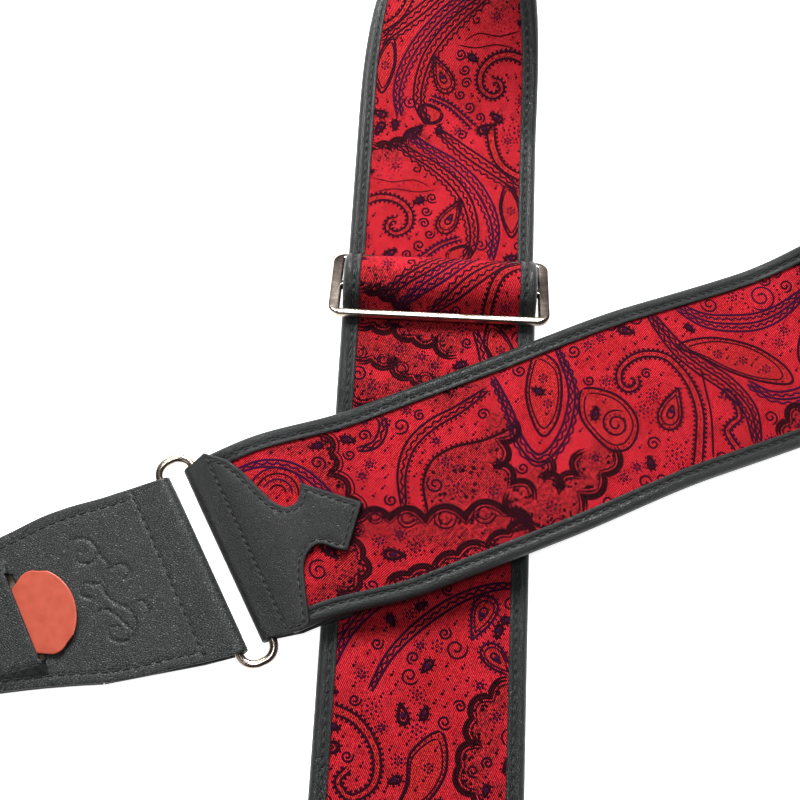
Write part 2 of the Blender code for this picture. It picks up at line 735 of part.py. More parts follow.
tilt = Matrix.Rotation(radians(-SLIDER_TILT), 4, "X")
for v in bm.verts:
    v.co = ((tilt @ v.co) + Vector((CROSS.x, CENTRE_Y, CENTRE_Z))) * MM
add_object("slider_frame", bm, NICKEL)

# ---------------------------------------------------------------- seat on z = 0
bpy.context.view_layer.update()
pts = [v.co for ob in strap.objects for v in ob.data.vertices]
lo = Vector((min(p.x for p in pts), min(p.y for p in pts), min(p.z for p in pts)))
hi = Vector((max(p.x for p in pts), max(p.y for p in pts), max(p.z for p in pts)))
SHIFT = Vector((-(lo.x + hi.x) / 2, -(lo.y + hi.y) / 2, -lo.z))
for ob in strap.objects:
    ob.data.transform(Matrix.Translation(SHIFT))


def set_origin(name, at_mm):
    """Move an object's origin on to its joint without moving the object."""
    ob = bpy.data.objects[name]
    at = Vector(at_mm) * MM + SHIFT
    ob.data.transform(Matrix.Translation(-at))
    ob.location = at


set_origin("front_ring", BAR_A)
for name in ("front_end_top", "front_end_backing", "front_end_stiffener"):
    set_origin(name, BAR_B)
set_origin("pick", Vector(place(POCKET_T, POCKET_C, top_w)) / MM)
set_origin("slider_frame", (CROSS.x, CENTRE_Y, CENTRE_Z))
set_origin("rear_ring", REAR_BAR)
for name in ("rear_end_top", "rear_end_backing", "rear_end_stiffener"):
    set_origin(name, REAR_BAR_B)
for name in ("tail_face", "tail_padding", "tail_lining", "tail_binding_left", "tail_binding_right"):
    set_origin(name, REAR_BAR)


def stated(p):
    q = Vector(p) * MM + SHIFT
    return tuple(round(c, 5) for c in q)


print("shift", tuple(round(c, 6) for c in SHIFT))
print("size", tuple(round(c, 4) for c in (hi - lo)))
print("band main", round(S_LAST - S_END, 1), "turn length", round(TURN_LEN, 1), "S_STRAIGHT", round(S_STRAIGHT, 1), "Y_STRAIGHT", round(Y_STRAIGHT, 1), "S_LAST", round(S_LAST, 1))
length = 0.0
for a, b in zip(TAIL, TAIL[1:]):
    length += (b.p - a.p).length
print("band tail", round(length, 1))
print("front ring hinge", stated(BAR_A), "axis", tuple(round(c, 4) for c in left_end))
print("front end hinge", stated(BAR_B))
print("rear ring hinge", stated(REAR_BAR), "rear end hinge", stated(REAR_BAR_B))
print("slider", stated((CROSS.x, CENTRE_Y, CENTRE_Z)), "near", stated((CROSS.x, NEAR_Y, NEAR_Z)), "far", stated((CROSS.x, FAR_Y, FAR_Z)))
print("pick dir", tuple(round(c, 5) for c in (Vector(pick_place(1, 0, 0)) - Vector(pick_place(0, 0, 0))).normalized()))
print("hole", stated(place(HOLE_T, 0, 0) / MM), "hole face", stated(place(HOLE_T - 13.0, 0, top_w) / MM), "rear hole", stated((CROSS.x, REAR_BAR_B.y - HOLE_T * cos(radians(1.5)), REAR_BAR_B.z - HOLE_T * sin(radians(1.5)))))
print("end top normal", tuple(round(c, 4) for c in (Vector(place(20, 0, 1)) - Vector(place(20, 0, 0))).normalized()))
total = 0
for ob in strap.objects:
    bm = bmesh.new()
    bm.from_mesh(ob.data)
    open_edges = sum(1 for e in bm.edges if not e.is_manifold)
    tris = sum(len(f.verts) - 2 for f in bm.faces)
    total += tris
    print(ob.name, "tris", tris, "open", open_edges, "vol", round(bm.calc_volume() * 1e9))
    bm.free()
print("total", total)
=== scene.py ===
"""Looks of a jacquard guitar strap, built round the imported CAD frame.

Shapes are worked out in the CAD's own millimetres, as part.py has them, and metres() puts them in the frame.
"""
import random
import bpy
import numpy as np
from math import sin, cos, pi, radians, degrees, asin, sqrt, atan2, ceil, hypot
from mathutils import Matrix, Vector
from mathutils.geometry import delaunay_2d_cdt


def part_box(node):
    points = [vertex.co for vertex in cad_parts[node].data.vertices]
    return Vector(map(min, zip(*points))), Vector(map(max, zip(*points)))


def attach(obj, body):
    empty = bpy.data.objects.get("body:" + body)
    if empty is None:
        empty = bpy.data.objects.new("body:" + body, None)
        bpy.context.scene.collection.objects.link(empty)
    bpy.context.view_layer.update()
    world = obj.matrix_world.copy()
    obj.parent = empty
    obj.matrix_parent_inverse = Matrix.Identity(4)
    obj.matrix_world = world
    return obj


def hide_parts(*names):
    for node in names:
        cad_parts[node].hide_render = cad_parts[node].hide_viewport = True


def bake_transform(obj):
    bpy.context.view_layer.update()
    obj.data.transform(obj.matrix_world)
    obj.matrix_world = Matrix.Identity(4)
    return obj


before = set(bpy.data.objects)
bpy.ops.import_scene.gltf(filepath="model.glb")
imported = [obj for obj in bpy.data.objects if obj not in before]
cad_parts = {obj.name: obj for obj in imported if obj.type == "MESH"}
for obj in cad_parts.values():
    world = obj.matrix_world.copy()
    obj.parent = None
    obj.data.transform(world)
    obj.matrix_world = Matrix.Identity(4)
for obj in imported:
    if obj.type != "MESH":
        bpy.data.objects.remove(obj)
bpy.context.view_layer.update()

# ------------------------------------------------------------ CAD dimensions
BAND_W, BAND_T, FACE_T, PAD_T, LINING_T = 60.0, 4.0, 0.5, 0.8, 0.5
BIND_T, BIND_LIP, GAP = 0.6, 5.3, 0.25
CORE_HALF = BAND_W / 2 - BIND_T - GAP - 0.6
LAYER_STEP, REST_Z = BAND_T + 0.3, 2.3
CROSS = (10.75, -28.95)
DIAG_DEG, END_DEG, END_Z, OVER_Z = 24.5, 29.5, 9.4, 16.1
S_RING, S_END = -62.4, -56.0
TURN_START, TURN_RAMP, ROLL_START, ROLL_LEN = 155.0, 80.0, 118.0, 140.0
SLIDER_TILT, BAR_PITCH, BAR_R, SLIDER_IN, SLIDER_ARM = 22.0, 12.5, 1.2, 61.6, 3.7
NEAR_Y = 22.3
WRAP_R = BAR_R + 0.45 + BAND_T / 2
LOOP_R = BAR_R + 0.55 + BAND_T / 2
HUMP_R = LOOP_R + LAYER_STEP
FOLD_Y, TOP_Y = 1.0, NEAR_Y - 11.0
RING_ROD, RING_PITCH, RING_CORNER, REAR_Y = 2.6, 10.3, 4.4, -165.0
FRONT_RING_LEN, REAR_RING_LEN = 67.0, 70.6
LEA_T, CORE_T = 1.3, 1.0
TUBE_R = RING_ROD / 2 + 0.3 + LEA_T / 2
TUBE_HALF = pi * TUBE_R / 2
WRAP_V = BAND_T / 2 + 0.25 + LEA_T / 2
WRAP_HALF, WRAP_BAR_HALF, END_HALF, FRONT_SKEW = 30.4, 28.7, 28.8, 0.21
BACK_LEG, HOLE_T, HOLE_R, KEY_LEN, KEY_HALF = 38.0, 112.0, 4.0, 11.0, 0.5
POCKET_T, POCKET_C, POCKET_HALF, POCKET_LIFT = 50.0, -1.85, 13.7, 2.8
PICK_TILT, PICK_T, PICK_L, PICK_OUT = radians(5.2), 0.7, 30.0, 14.3
PICK_C = -2.85
HALF_WIDTHS = [(0.0, 28.8), (9.0, 28.5), (18.0, 28.0), (27.0, 27.9), (36.0, 27.0), (46.0, 24.8), (58.0, 22.5),
               (72.0, 20.5), (86.0, 19.2), (100.0, 18.4), (114.0, 18.0)]

scene = bpy.context.scene
scene.view_settings.view_transform = "Standard"
scene.view_settings.gamma = 0.84          # the strong contrast of a cut-out shop picture

TILT = radians(SLIDER_TILT)
NEAR_Z = REST_Z + WRAP_R + 2 * BAR_PITCH * sin(TILT)
CENTRE_Y = NEAR_Y + BAR_PITCH * cos(TILT)
CENTRE_Z = NEAR_Z - BAR_PITCH * sin(TILT)
FAR_Y = NEAR_Y + 2 * BAR_PITCH * cos(TILT)
SPLIT_Y = FAR_Y + 1.6

# the slider's box is even about its centre bar, which ties millimetres to the frame
low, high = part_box("slider_frame")
SHIFT = (np.array(low) + np.array(high)) / 2 - np.array([CROSS[0], CENTRE_Y, CENTRE_Z]) * 0.001


def metres(p):
    return np.asarray(p, float) * 0.001 + SHIFT


def smooth(a, b, x):
    t = np.clip((x - a) / (b - a), 0.0, 1.0)
    return t * t * (3 - 2 * t)


def unit(a):
    return a / np.linalg.norm(a, axis=-1, keepdims=True)


def arc(cx, cy, r, a0, a1, n):
    """n points on a circle, between two angles in degrees."""
    return [(cx + r * cos(radians(a)), cy + r * sin(radians(a))) for a in np.linspace(a0, a1, n)]


def circle(cx, cy, r, a0=0.0, a1=2 * pi, n=20):
    """The same as an array, between two angles in radians."""
    return np.array([(cx + r * cos(a), cy + r * sin(a)) for a in np.linspace(a0, a1, n)])


def skin(m, n, base=0):
    """Faces round a tube of m rings of n points, closed at both ends."""
    walls = [(base + i * n + j, base + i * n + (j + 1) % n, base + (i + 1) * n + (j + 1) % n, base + (i + 1) * n + j)
             for i in range(m - 1) for j in range(n)]
    return walls + [tuple(range(base + n - 1, base - 1, -1)), tuple(range(base + (m - 1) * n, base + m * n))]


# ------------------------------------------------------------ camera and light
def aimed(ob, at, to):
    ob.location = at
    ob.rotation_euler = (Vector(to) - Vector(at)).to_track_quat("-Z", "Y").to_euler()
    scene.collection.objects.link(ob)


CAMERA_AT, LENS = (7.305, -139.357, 383.40), 58.5    # nearly overhead, from the front of the crossing
cam_data = bpy.data.cameras.new("camera")
cam_data.lens = LENS
cam_data.clip_start = 0.01
camera = bpy.data.objects.new("camera", cam_data)
aimed(camera, metres(CAMERA_AT), metres((0, 0, 0)))
scene.camera = camera


def softbox(name, at, to, size, power, tint=(1, 1, 1)):
    lamp = bpy.data.lights.new(name, "AREA")
    lamp.shape = "RECTANGLE"
    lamp.size, lamp.size_y = size
    lamp.energy = power
    lamp.color = tint
    aimed(bpy.data.objects.new(name, lamp), at, to)


softbox("key_light", (-0.15, 0.75, 0.75), (-0.04, 0.0, 0.0), (0.7, 0.35), 24.0)
softbox("top_light", (-0.03, -0.10, 0.85), (-0.03, -0.06, 0.0), (0.35, 0.25), 2.6)
softbox("fill_light", (-0.7, -0.5, 0.6), (-0.05, 0.0, 0.0), (0.5, 0.5), 0.7)
world = bpy.data.worlds.new("studio")
world.use_nodes = True
world.node_tree.nodes["Background"].inputs["Color"].default_value = (0.93, 0.96, 1.0, 1.0)
world.node_tree.nodes["Background"].inputs["Strength"].default_value = 0.10
scene.world = world


# ------------------------------------------------------------ materials
class Look:
    """A Principled material with short ways to add nodes."""

    def __init__(self, name, rough=0.5, metal=0.0, **sockets):
        self.mat = bpy.data.materials.new(name)
        self.mat.use_nodes = True
        self.tree = self.mat.node_tree
        self.shader = self.tree.nodes["Principled BSDF"]
        self.shader.inputs["Roughness"].default_value = rough
        self.shader.inputs["Metallic"].default_value = metal
        for key, value in sockets.items():
            self.shader.inputs[key.replace("_", " ")].default_value = value

    def add(self, kind, inputs=None, **props):
        node = self.tree.nodes.new("ShaderNode" + kind)
        for key, value in props.items():
            setattr(node, key, value)
        for key, value in (inputs or {}).items():
            if isinstance(value, bpy.types.NodeSocket):
                self.tree.links.new(value, node.inputs[key])
            else:
                node.inputs[key].default_value = value
        return node

    def flat(self, scale=(1, 1, 1), turn=0.0):
        """The piece's own unrolled coordinates, in millimetres."""
        source = self.add("Attribute", attribute_name="flat").outputs["Vector"]
        return self.add("Mapping", {"Vector": source, "Scale": scale, "Rotation": (0, 0, radians(turn))}).outputs[0]

    def number(self, name):
        return self.add("Attribute", attribute_name=name).outputs["Fac"]

    def noise(self, vector, scale, detail=2.0, rough=0.5):
        return self.add("TexNoise", {"Vector": vector, "Scale": scale, "Detail": detail,
                                     "Roughness": rough}).outputs["Fac"]

    def ramp(self, fac, lo, hi, a=0.0, b=1.0):
        return self.add("MapRange", {"Value": fac, "From Min": lo, "From Max": hi,
                                     "To Min": a, "To Max": b}).outputs["Result"]

    def math(self, how, a, b=0.0):
        return self.add("Math", {0: a, 1: b}, operation=how).outputs[0]

    def plus(self, a, b, k):
        """a + b * k"""
        return self.math("ADD", a, self.math("MULTIPLY", b, k))

    def wave(self, scale, turn, **more):
        inputs = {"Vector": self.flat(turn=turn), "Scale": scale}
        inputs.update((key.replace("_", " "), value) for key, value in more.items())
        return self.add("TexWave", inputs).outputs["Fac"]

    def mix(self, fac, a, b):
        node = self.add("Mix", data_type="RGBA")
        for key, value in ((0, fac), (6, a), (7, b)):
            if isinstance(value, bpy.types.NodeSocket):
                self.tree.links.new(value, node.inputs[key])
            else:
                node.inputs[key].default_value = value if key == 0 else (*value, 1.0)
        return node.outputs[2]

    def link(self, value, socket):
        self.tree.links.new(value, self.shader.inputs[socket])

    def colour(self, value):
        self.link(value, "Base Color")

    def rough(self, value):
        self.link(value, "Roughness")

    def bump(self, height, strength, distance):
        node = self.add("Bump", {"Height": height, "Strength": strength, "Distance": distance})
        self.link(node.outputs[0], "Normal")


def jacquard(name, lines):
    """Satin-woven ground; lines is True for the raised pattern yarn."""
    look = Look(name, 0.62, Sheen_Weight=0.08 if not lines else 0.02, Sheen_Roughness=0.4,
                Sheen_Tint=(1.0, 0.42, 0.5, 1.0), Specular_IOR_Level=0.09)
    twill = look.wave(0.62, 62, Distortion=1.2, Detail=1.0, Detail_Scale=2.0)
    warp = look.wave(0.85, -8, Distortion=0.8, Detail=1.0)
    speck = look.noise(look.flat(), 2.3, 2.0, 0.65)
    cloud = look.noise(look.flat(), 0.07, 3.0)
    tone = look.number("tone")
    thread = look.plus(look.math("MULTIPLY", twill, 0.55), speck, 0.9)
    if lines:
        ink = look.mix(look.ramp(tone, 0.0, 0.5), (0.003, 0.001, 0.003), (0.007, 0.002, 0.014))
        ink = look.mix(look.ramp(tone, 0.5, 1.0), ink, (0.020, 0.005, 0.045))
        look.colour(look.mix(look.ramp(thread, 0.80, 1.02, 0.0, 0.55), ink, (0.20, 0.005, 0.014)))
    else:
        ground = look.mix(look.ramp(cloud, 0.36, 0.66), (0.50, 0.004, 0.014), (0.62, 0.014, 0.034))
        flame = look.mix(look.ramp(speck, 0.35, 0.7), (0.26, 0.003, 0.008), (0.66, 0.026, 0.012))
        dark = look.mix(look.ramp(look.noise(look.flat(), 1.15, 2.0, 0.7), 0.40, 0.57),
                        (0.016, 0.001, 0.003), (0.46, 0.007, 0.012))
        shade = look.ramp(look.noise(look.flat(), 0.42, 3.0, 0.7), 0.50, 0.68, 0.0, 0.55)
        ground = look.mix(shade, ground, (0.17, 0.001, 0.006))
        base = look.mix(look.ramp(tone, 0.0, 1.0), ground, flame)
        base = look.mix(look.ramp(tone, 0.0, -1.0), base, dark)
        # painted shade: the twill's low points go near-black, partly also the weave's own dark speckle
        base = look.mix(look.ramp(thread, 0.46, 0.86, 0.92, 0.0), base, (0.045, 0.0005, 0.003))
        # painted sheen: the twill's high points are mixed towards a pale pink
        base = look.mix(look.ramp(thread, 0.84, 1.02, 0.0, 0.45), base, (0.80, 0.13, 0.15))
        look.colour(base)
    look.bump(look.plus(thread, warp, 0.3), 0.75, 0.0002)
    return look.mat


def hide(name, base, lift, rough, grain, depth, creases=0.0, stretch=(1, 1, 1)):
    """Grained black leather; lift is a painted highlight, the paler colour on the high points."""
    look = Look(name, rough, Specular_IOR_Level=0.5, Coat_Weight=0.06, Coat_Roughness=0.35)
    cells = look.add("TexVoronoi", {"Vector": look.flat(), "Scale": grain}, feature="DISTANCE_TO_EDGE").outputs[0]
    pores = look.noise(look.flat(), grain * 1.7, 3.0, 0.6)
    wide = look.noise(look.flat(), 0.12, 3.0)
    folds = look.noise(look.flat(stretch), 0.9, 4.0, 0.6)
    relief = look.plus(look.ramp(cells, 0.0, 0.16), pores, 0.9)
    relief = look.plus(relief, folds, creases)
    tint = look.mix(look.ramp(wide, 0.35, 0.65), base, tuple(c * 1.35 for c in base))
    # painted highlight: the high points of the grain and folds are mixed towards the paler lift colour
    look.colour(look.mix(look.ramp(relief, 0.75, 1.7 + creases * 0.5, 0.0, 0.8), tint, lift))
    look.rough(look.ramp(pores, 0.3, 0.7, rough - 0.07, rough + 0.09))
    look.bump(relief, 0.7, depth)
    return look.mat


def metal(name):
    look = Look(name, 0.16, 1.0)
    place = look.add("TexCoord").outputs["Object"]
    cloud = look.noise(place, 90.0, 3.0)
    hair = look.noise(look.add("Mapping", {"Vector": place, "Scale": (40, 900, 900)}).outputs[0], 3.0, 3.0)
    look.colour(look.mix(look.ramp(cloud, 0.35, 0.65), (0.40, 0.34, 0.29), (0.54, 0.47, 0.41)))
    look.rough(look.ramp(look.plus(cloud, hair, 0.5), 0.5, 1.0, 0.12, 0.26))
    look.bump(hair, 0.06, 0.00005)
    return look.mat


def coral():
    look = Look("pick_celluloid", 0.34, Subsurface_Weight=0.25, Subsurface_Scale=0.002,
                Subsurface_Radius=(1.0, 0.35, 0.2), Coat_Weight=0.25, Coat_Roughness=0.15)
    cloud = look.noise(look.flat(), 0.25, 4.0)
    rub = look.noise(look.flat((1, 5, 1), 30), 1.2, 3.0, 0.7)
    look.colour(look.mix(look.ramp(cloud, 0.3, 0.7), (0.42, 0.095, 0.058), (0.50, 0.125, 0.080)))
    look.rough(look.ramp(rub, 0.35, 0.7, 0.28, 0.46))
    look.bump(rub, 0.05, 0.0001)
    return look.mat


def cloth(name, base, lift, scale, rough):
    look = Look(name, rough, Sheen_Weight=0.2, Sheen_Roughness=0.5)
    nap = look.noise(look.flat(), scale, 4.0, 0.7)
    drift = look.noise(look.flat(), 0.08, 3.0)
    look.colour(look.mix(look.ramp(look.plus(nap, drift, 0.5), 0.5, 0.95), base, lift))
    look.bump(nap, 0.5, 0.0002)
    return look.mat


RED = jacquard("jacquard_ground", False)
YARN = jacquard("jacquard_pattern_yarn", True)
# the second colour of each leather is its painted highlight on the grain's high points
EDGE = hide("edging_leather", (0.008, 0.009, 0.009), (0.050, 0.054, 0.054), 0.36, 1.7, 0.00018, 0.5, (0.8, 2.2, 1))
LEATHER = hide("nappa_leather", (0.010, 0.010, 0.011), (0.044, 0.045, 0.044), 0.46, 2.1, 0.00014, 0.7, (1.6, 0.6, 1))
GRAINED = hide("grained_leather", (0.009, 0.010, 0.010), (0.060, 0.063, 0.063), 0.42, 1.5, 0.00013, 0.25)
SUEDE = cloth("lining_suede", (0.010, 0.010, 0.011), (0.035, 0.035, 0.037), 2.2, 0.92)
FOAM = cloth("foam_pad", (0.05, 0.05, 0.052), (0.14, 0.14, 0.14), 1.4, 0.95)
BOARD = cloth("stiffener_board", (0.10, 0.075, 0.05), (0.24, 0.19, 0.14), 1.1, 0.85)
NICKEL = metal("polished_nickel")
CORAL = coral()


def thread():
    look = Look("sewing_thread", 0.55, Sheen_Weight=0.3)
    ply = look.wave(1.4, 35)
    # painted highlight and shade on the twist: lighter along the ply crests, darker in the grooves between them
    look.colour(look.mix(ply, (0.0015, 0.0015, 0.002), (0.010, 0.010, 0.011)))
    look.bump(ply, 0.5, 0.0001)
    return look.mat


THREAD = thread()


# ------------------------------------------------------------ making pieces
def piece(name, verts, faces, mat, flat=None, tone=None, body=None, between=None, nodes=(), slot=None, sharp=40):
    mesh = bpy.data.meshes.new(name)
    mesh.from_pydata(np.asarray(verts).tolist(), [], faces)
    mesh.validate()
    flat = np.asarray(flat if flat is not None else np.asarray(verts) * 1000, np.float32)
    mesh.attributes.new("flat", "FLOAT_VECTOR", "POINT").data.foreach_set("vector", flat.ravel())
    if tone is not None:
        mesh.attributes.new("tone", "FLOAT", "POINT").data.foreach_set("value", np.asarray(tone, np.float32))
    mesh.calc_loop_triangles()
    tri = np.empty(len(mesh.loop_triangles) * 3, np.int32)
    mesh.loop_triangles.foreach_get("vertices", tri)
    co = np.asarray(verts, float) - np.mean(verts, axis=0)
    a, b, c = (co[tri.reshape(-1, 3)[:, i]] for i in range(3))
    if np.sum(a * np.cross(b, c)) < 0:
        mesh.flip_normals()
    mesh.shade_smooth()
    mesh.set_sharp_from_angle(angle=radians(sharp))
    mesh.materials.append(mat)
    ob = bpy.data.objects.new(name, mesh)
    scene.collection.objects.link(ob)
    if between:
        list(between)
        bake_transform(ob)
    else:
        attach(ob, body)
    if nodes:
        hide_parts(*nodes)
    return ob


# ------------------------------------------------------------ the band's path
TURN = radians(270.0 - DIAG_DEG)


def bend(s, length):
    a = s - TURN_START
    if a <= 0 or a >= length:
        return 0.0
    return TURN / (length - TURN_RAMP) * min(a / TURN_RAMP, 1.0, (length - a) / TURN_RAMP)


def plan(length, step=1.0):
    x, y = CROSS
    ang = radians(DIAG_DEG)
    pts = [(0.0, x, y, ang)]
    s, end = 0.0, TURN_START + length
    while s < end - 1e-9:
        h = min(step, end - s)
        mid = ang + bend(s + h / 2, length) * h / 2
        x, y = x + cos(mid) * h, y + sin(mid) * h
        ang += bend(s + h / 2, length) * h
        s += h
        pts.append((s, x, y, ang))
    return pts


lo, hi = 300.0, 1100.0
for _ in range(34):
    mid = (lo + hi) / 2
    lo, hi = (lo, mid) if plan(mid, 4.0)[-1][1] < CROSS[0] else (mid, hi)
PLAN = plan((lo + hi) / 2)
S_STRAIGHT, _, Y_STRAIGHT, _ = PLAN[-1]
S_LAST = S_STRAIGHT + Y_STRAIGHT - (SPLIT_Y + 0.3)
MIRROR_S = S_STRAIGHT + TURN_START


def roll_at(s):
    return radians(90.0) * smooth(ROLL_START, ROLL_START + ROLL_LEN, np.minimum(s, MIRROR_S - s))


def height_at(s):
    low_end = (END_Z + (12.9 - END_Z) * smooth(S_RING - 4.0, -45.0, s) + (OVER_Z - 12.9) * smooth(-40.0, -10.0, s)
               - (OVER_Z - REST_Z) * smooth(33.0, 135.0, s))
    return np.where(s < 200.0, low_end, REST_Z) + BAND_W / 2 * np.sin(roll_at(s)) * 1.005


class Path:
    """Mid-line of a length of band with the band's own directions, for any distances s."""

    def __init__(self, s, pos, along, left):
        self.s, self.pos, self.along, self.left = (np.asarray(a, float) for a in (s, pos, along, left))

    def pick(self, rows, s):
        return np.stack([np.interp(s, self.s, rows[:, i]) for i in range(3)], -1)

    def at(self, s, u, v, ahead=0.0):
        s, u, v, ahead = np.broadcast_arrays(*(np.asarray(a, float) for a in (s, u, v, ahead)))
        t, l = unit(self.pick(self.along, s)), unit(self.pick(self.left, s))
        n = np.cross(t, l)
        return metres(self.pick(self.pos, s) + t * ahead[..., None] + l * u[..., None] + n * v[..., None])


def lateral(s):
    """Sideways drift of the laid end off its straight line."""
    near = smooth(-45.0, -12.0, s)
    return 1.8 * (1 - near) - 2.2 * near * (1 - smooth(30.0, 80.0, s))


def main_path():
    ang = radians(DIAG_DEG)
    before = [(s, CROSS[0] + cos(ang) * s, CROSS[1] + sin(ang) * s,
               radians(DIAG_DEG + (END_DEG - DIAG_DEG) * smooth(-34.0, -56.0, s))) for s in range(-80, 0)]
    after = [(S_STRAIGHT + d, CROSS[0], Y_STRAIGHT - d, radians(270.0)) for d in range(1, 90)]
    rows = np.array(before + PLAN + after)
    rows[:, 1] -= sin(ang) * lateral(rows[:, 0])
    rows[:, 2] += cos(ang) * lateral(rows[:, 0])
    s, ang = rows[:, 0], rows[:, 3]
    z, roll = height_at(s), roll_at(s)
    slope = height_at(s + 0.5) - height_at(s - 0.5)
    along = unit(np.stack([np.cos(ang), np.sin(ang), slope], -1))
    flat = np.stack([-np.sin(ang), np.cos(ang), 0 * ang], -1)
    up = np.cross(along, flat)
    left = flat * np.cos(roll)[:, None] + up * np.sin(roll)[:, None]
    return Path(s, np.stack([rows[:, 1], rows[:, 2], z], -1), along, left)


class Route:
    """Side view of the adjusting length: y, z and heading, from lines, arcs and easy slopes."""

    def __init__(self, y, z, deg):
        self.pts = [(y, z, deg)]

    def line(self, length, step=2.2):
        y, z, d = self.pts[-1]
        n = max(1, ceil(length / step))
        for i in range(1, n + 1):
            self.pts.append((y + cos(radians(d)) * length * i / n, z + sin(radians(d)) * length * i / n, d))

    def arc(self, r, turn, step=5.0):
        y, z, d = self.pts[-1]
        side = 1 if turn > 0 else -1
        cy, cz = y - side * r * sin(radians(d)), z + side * r * cos(radians(d))
        n = max(1, ceil(abs(turn) / step))
        for i in range(1, n + 1):
            e = d + turn * i / n
            self.pts.append((cy + side * r * sin(radians(e)), cz - side * r * cos(radians(e)), e))

    def ease(self, y1, z1):
        y0, z0, d = self.pts[-1]
        n = max(5, ceil(abs(y1 - y0) / 2.0))
        way = 1 if y1 > y0 else -1
        for i in range(1, n + 1):
            f = i / n
            slope = (z1 - z0) / abs(y1 - y0) * 6 * f * (1 - f)
            self.pts.append((y0 + (y1 - y0) * f, z0 + (z1 - z0) * f * f * (3 - 2 * f),
                             d + degrees(atan2(slope, 1.0)) * way))


def tail_path():
    steep = degrees(asin((WRAP_R + HUMP_R) / BAR_PITCH))
    straight = sqrt(BAR_PITCH ** 2 - (WRAP_R + HUMP_R) ** 2)
    fold_r = RING_ROD / 2 + 0.4 + BAND_T / 2
    route = Route(SPLIT_Y, REST_Z, 180.0)
    route.line(SPLIT_Y - FAR_Y)
    route.arc(WRAP_R, -(steep + SLIDER_TILT))        # up round the far bar
    route.line(straight)
    route.arc(HUMP_R, 2 * steep)                     # over the centre bar
    route.line(straight)
    route.arc(WRAP_R, -(steep - SLIDER_TILT))        # and under the near bar
    route.ease(TOP_Y, REST_Z + 2 * LAYER_STEP)
    top = len(route.pts) - 1
    route.line(TOP_Y - (FOLD_Y - 1.0))
    route.ease(FOLD_Y - 22.0, REST_Z + LAYER_STEP)
    route.line(FOLD_Y - 22.0 - (REAR_Y + 30.0))
    route.ease(REAR_Y, REST_Z + 2 * fold_r)
    route.arc(fold_r, 180.0)                         # round the rear ring
    back = 21.0                                      # climb to the centre bar
    y_leave, z_leave = CENTRE_Y + LOOP_R * sin(radians(back)), CENTRE_Z - LOOP_R * cos(radians(back))
    turn_r = 12.0
    climb = (z_leave - REST_Z - turn_r * (1 - cos(radians(back)))) / sin(radians(back))
    route.line(y_leave - climb * cos(radians(back)) - turn_r * sin(radians(back)) - REAR_Y)
    route.arc(turn_r, back)
    route.line(climb)
    route.arc(LOOP_R, 180.0 - back + (steep - SLIDER_TILT))
    route.line(straight)
    route.arc(WRAP_R + LAYER_STEP, -(steep - SLIDER_TILT))
    route.ease(TOP_Y, REST_Z + LAYER_STEP)
    route.line(TOP_Y - FOLD_Y)
    rows = np.array(route.pts)
    pos = np.stack([np.full(len(rows), CROSS[0]), rows[:, 0], rows[:, 1]], -1)
    s = np.concatenate([[0.0], np.cumsum(np.linalg.norm(np.diff(pos, axis=0), axis=1))])
    ang = np.radians(rows[:, 2])
    along = np.stack([0 * ang, np.cos(ang), np.sin(ang)], -1)
    return Path(s, pos, along, np.tile([1.0, 0.0, 0.0], (len(rows), 1))), s[top]


MAIN = main_path()
TAIL, S_TOP = tail_path()            # S_TOP: where y = TOP_Y on the upper layer
S_SPLIT = S_STRAIGHT - 28.0          # main length: the turn piece before, the straight piece after
Y_MAIN = [float(metres((0, y, 0))[1]) for y in (Y_STRAIGHT + 24.0, SPLIT_Y)]
MAIN_BLEND = ("strap", "slider", (0, Y_MAIN[0], 0), (0, Y_MAIN[1], 0))
TAIL_BLEND = ("slider", "tail", (0, float(metres((0, 12.0, 0))[1]), 0), (0, float(metres((0, REAR_Y + 8, 0))[1]), 0))


def steps(a, b, step):
    return np.linspace(a, b, max(2, ceil((b - a) / step) + 1))


PARTS = [  # name, path, stations, how it moves
    ("main", "turn", MAIN, steps(S_END, S_SPLIT, 2.0), dict(body="strap")),
    ("main", "straight", MAIN, steps(S_SPLIT, S_LAST, 2.0), dict(between=MAIN_BLEND)),
    ("tail", "adjusting", TAIL, TAIL.s, dict(between=TAIL_BLEND)),
]


def name_of(*words):
    return "_".join(words)


def loft(path, ss, section):
    """Closed section of (u, v) points along the path."""
    sec = np.array(section)
    n, m = len(sec), len(ss)
    s = np.repeat(ss, n)
    u, v = np.tile(sec[:, 0], m), np.tile(sec[:, 1], m)
    return path.at(s, u, v), skin(m, n), np.stack([s, u, v], -1)


def face_v(u):
    """Height of the jacquard over the band's mid-plane; the foam crowns it between the edgings."""
    w = np.clip(np.abs(u) / 24.6, 0, 1)
    return PAD_T / 2 + GAP + FACE_T + 0.5 * (1 - w ** 4)


def slab(half, cols, top, bottom):
    us = np.linspace(-half, half, cols)
    return [(u, bottom(u)) for u in us] + [(u, top(u)) for u in us[::-1]]


def edging(side):
    """Leather rolled over the band's edge, sewn down along a groove."""
    out = [(24.7, 1.45), (24.72, 1.8), (24.95, 1.94), (25.4, 1.96), (25.9, 1.88), (26.2, 1.62), (26.45, 1.42),
           (26.7, 1.44), (27.0, 1.68), (27.4, 1.9), (28.0, 2.0), (28.7, 1.97), (29.3, 1.72), (29.72, 1.25),
           (29.93, 0.65), (30.0, 0.0)]
    out += [(u, -v) for u, v in out[-2::-1]]
    inn = [(24.85, -1.4), (29.0, -1.38), (29.35, -0.9), (29.4, 0.0), (29.35, 0.9), (29.0, 1.38), (24.85, 1.4)]
    return [(side * u, v) for u, v in (out + inn)]


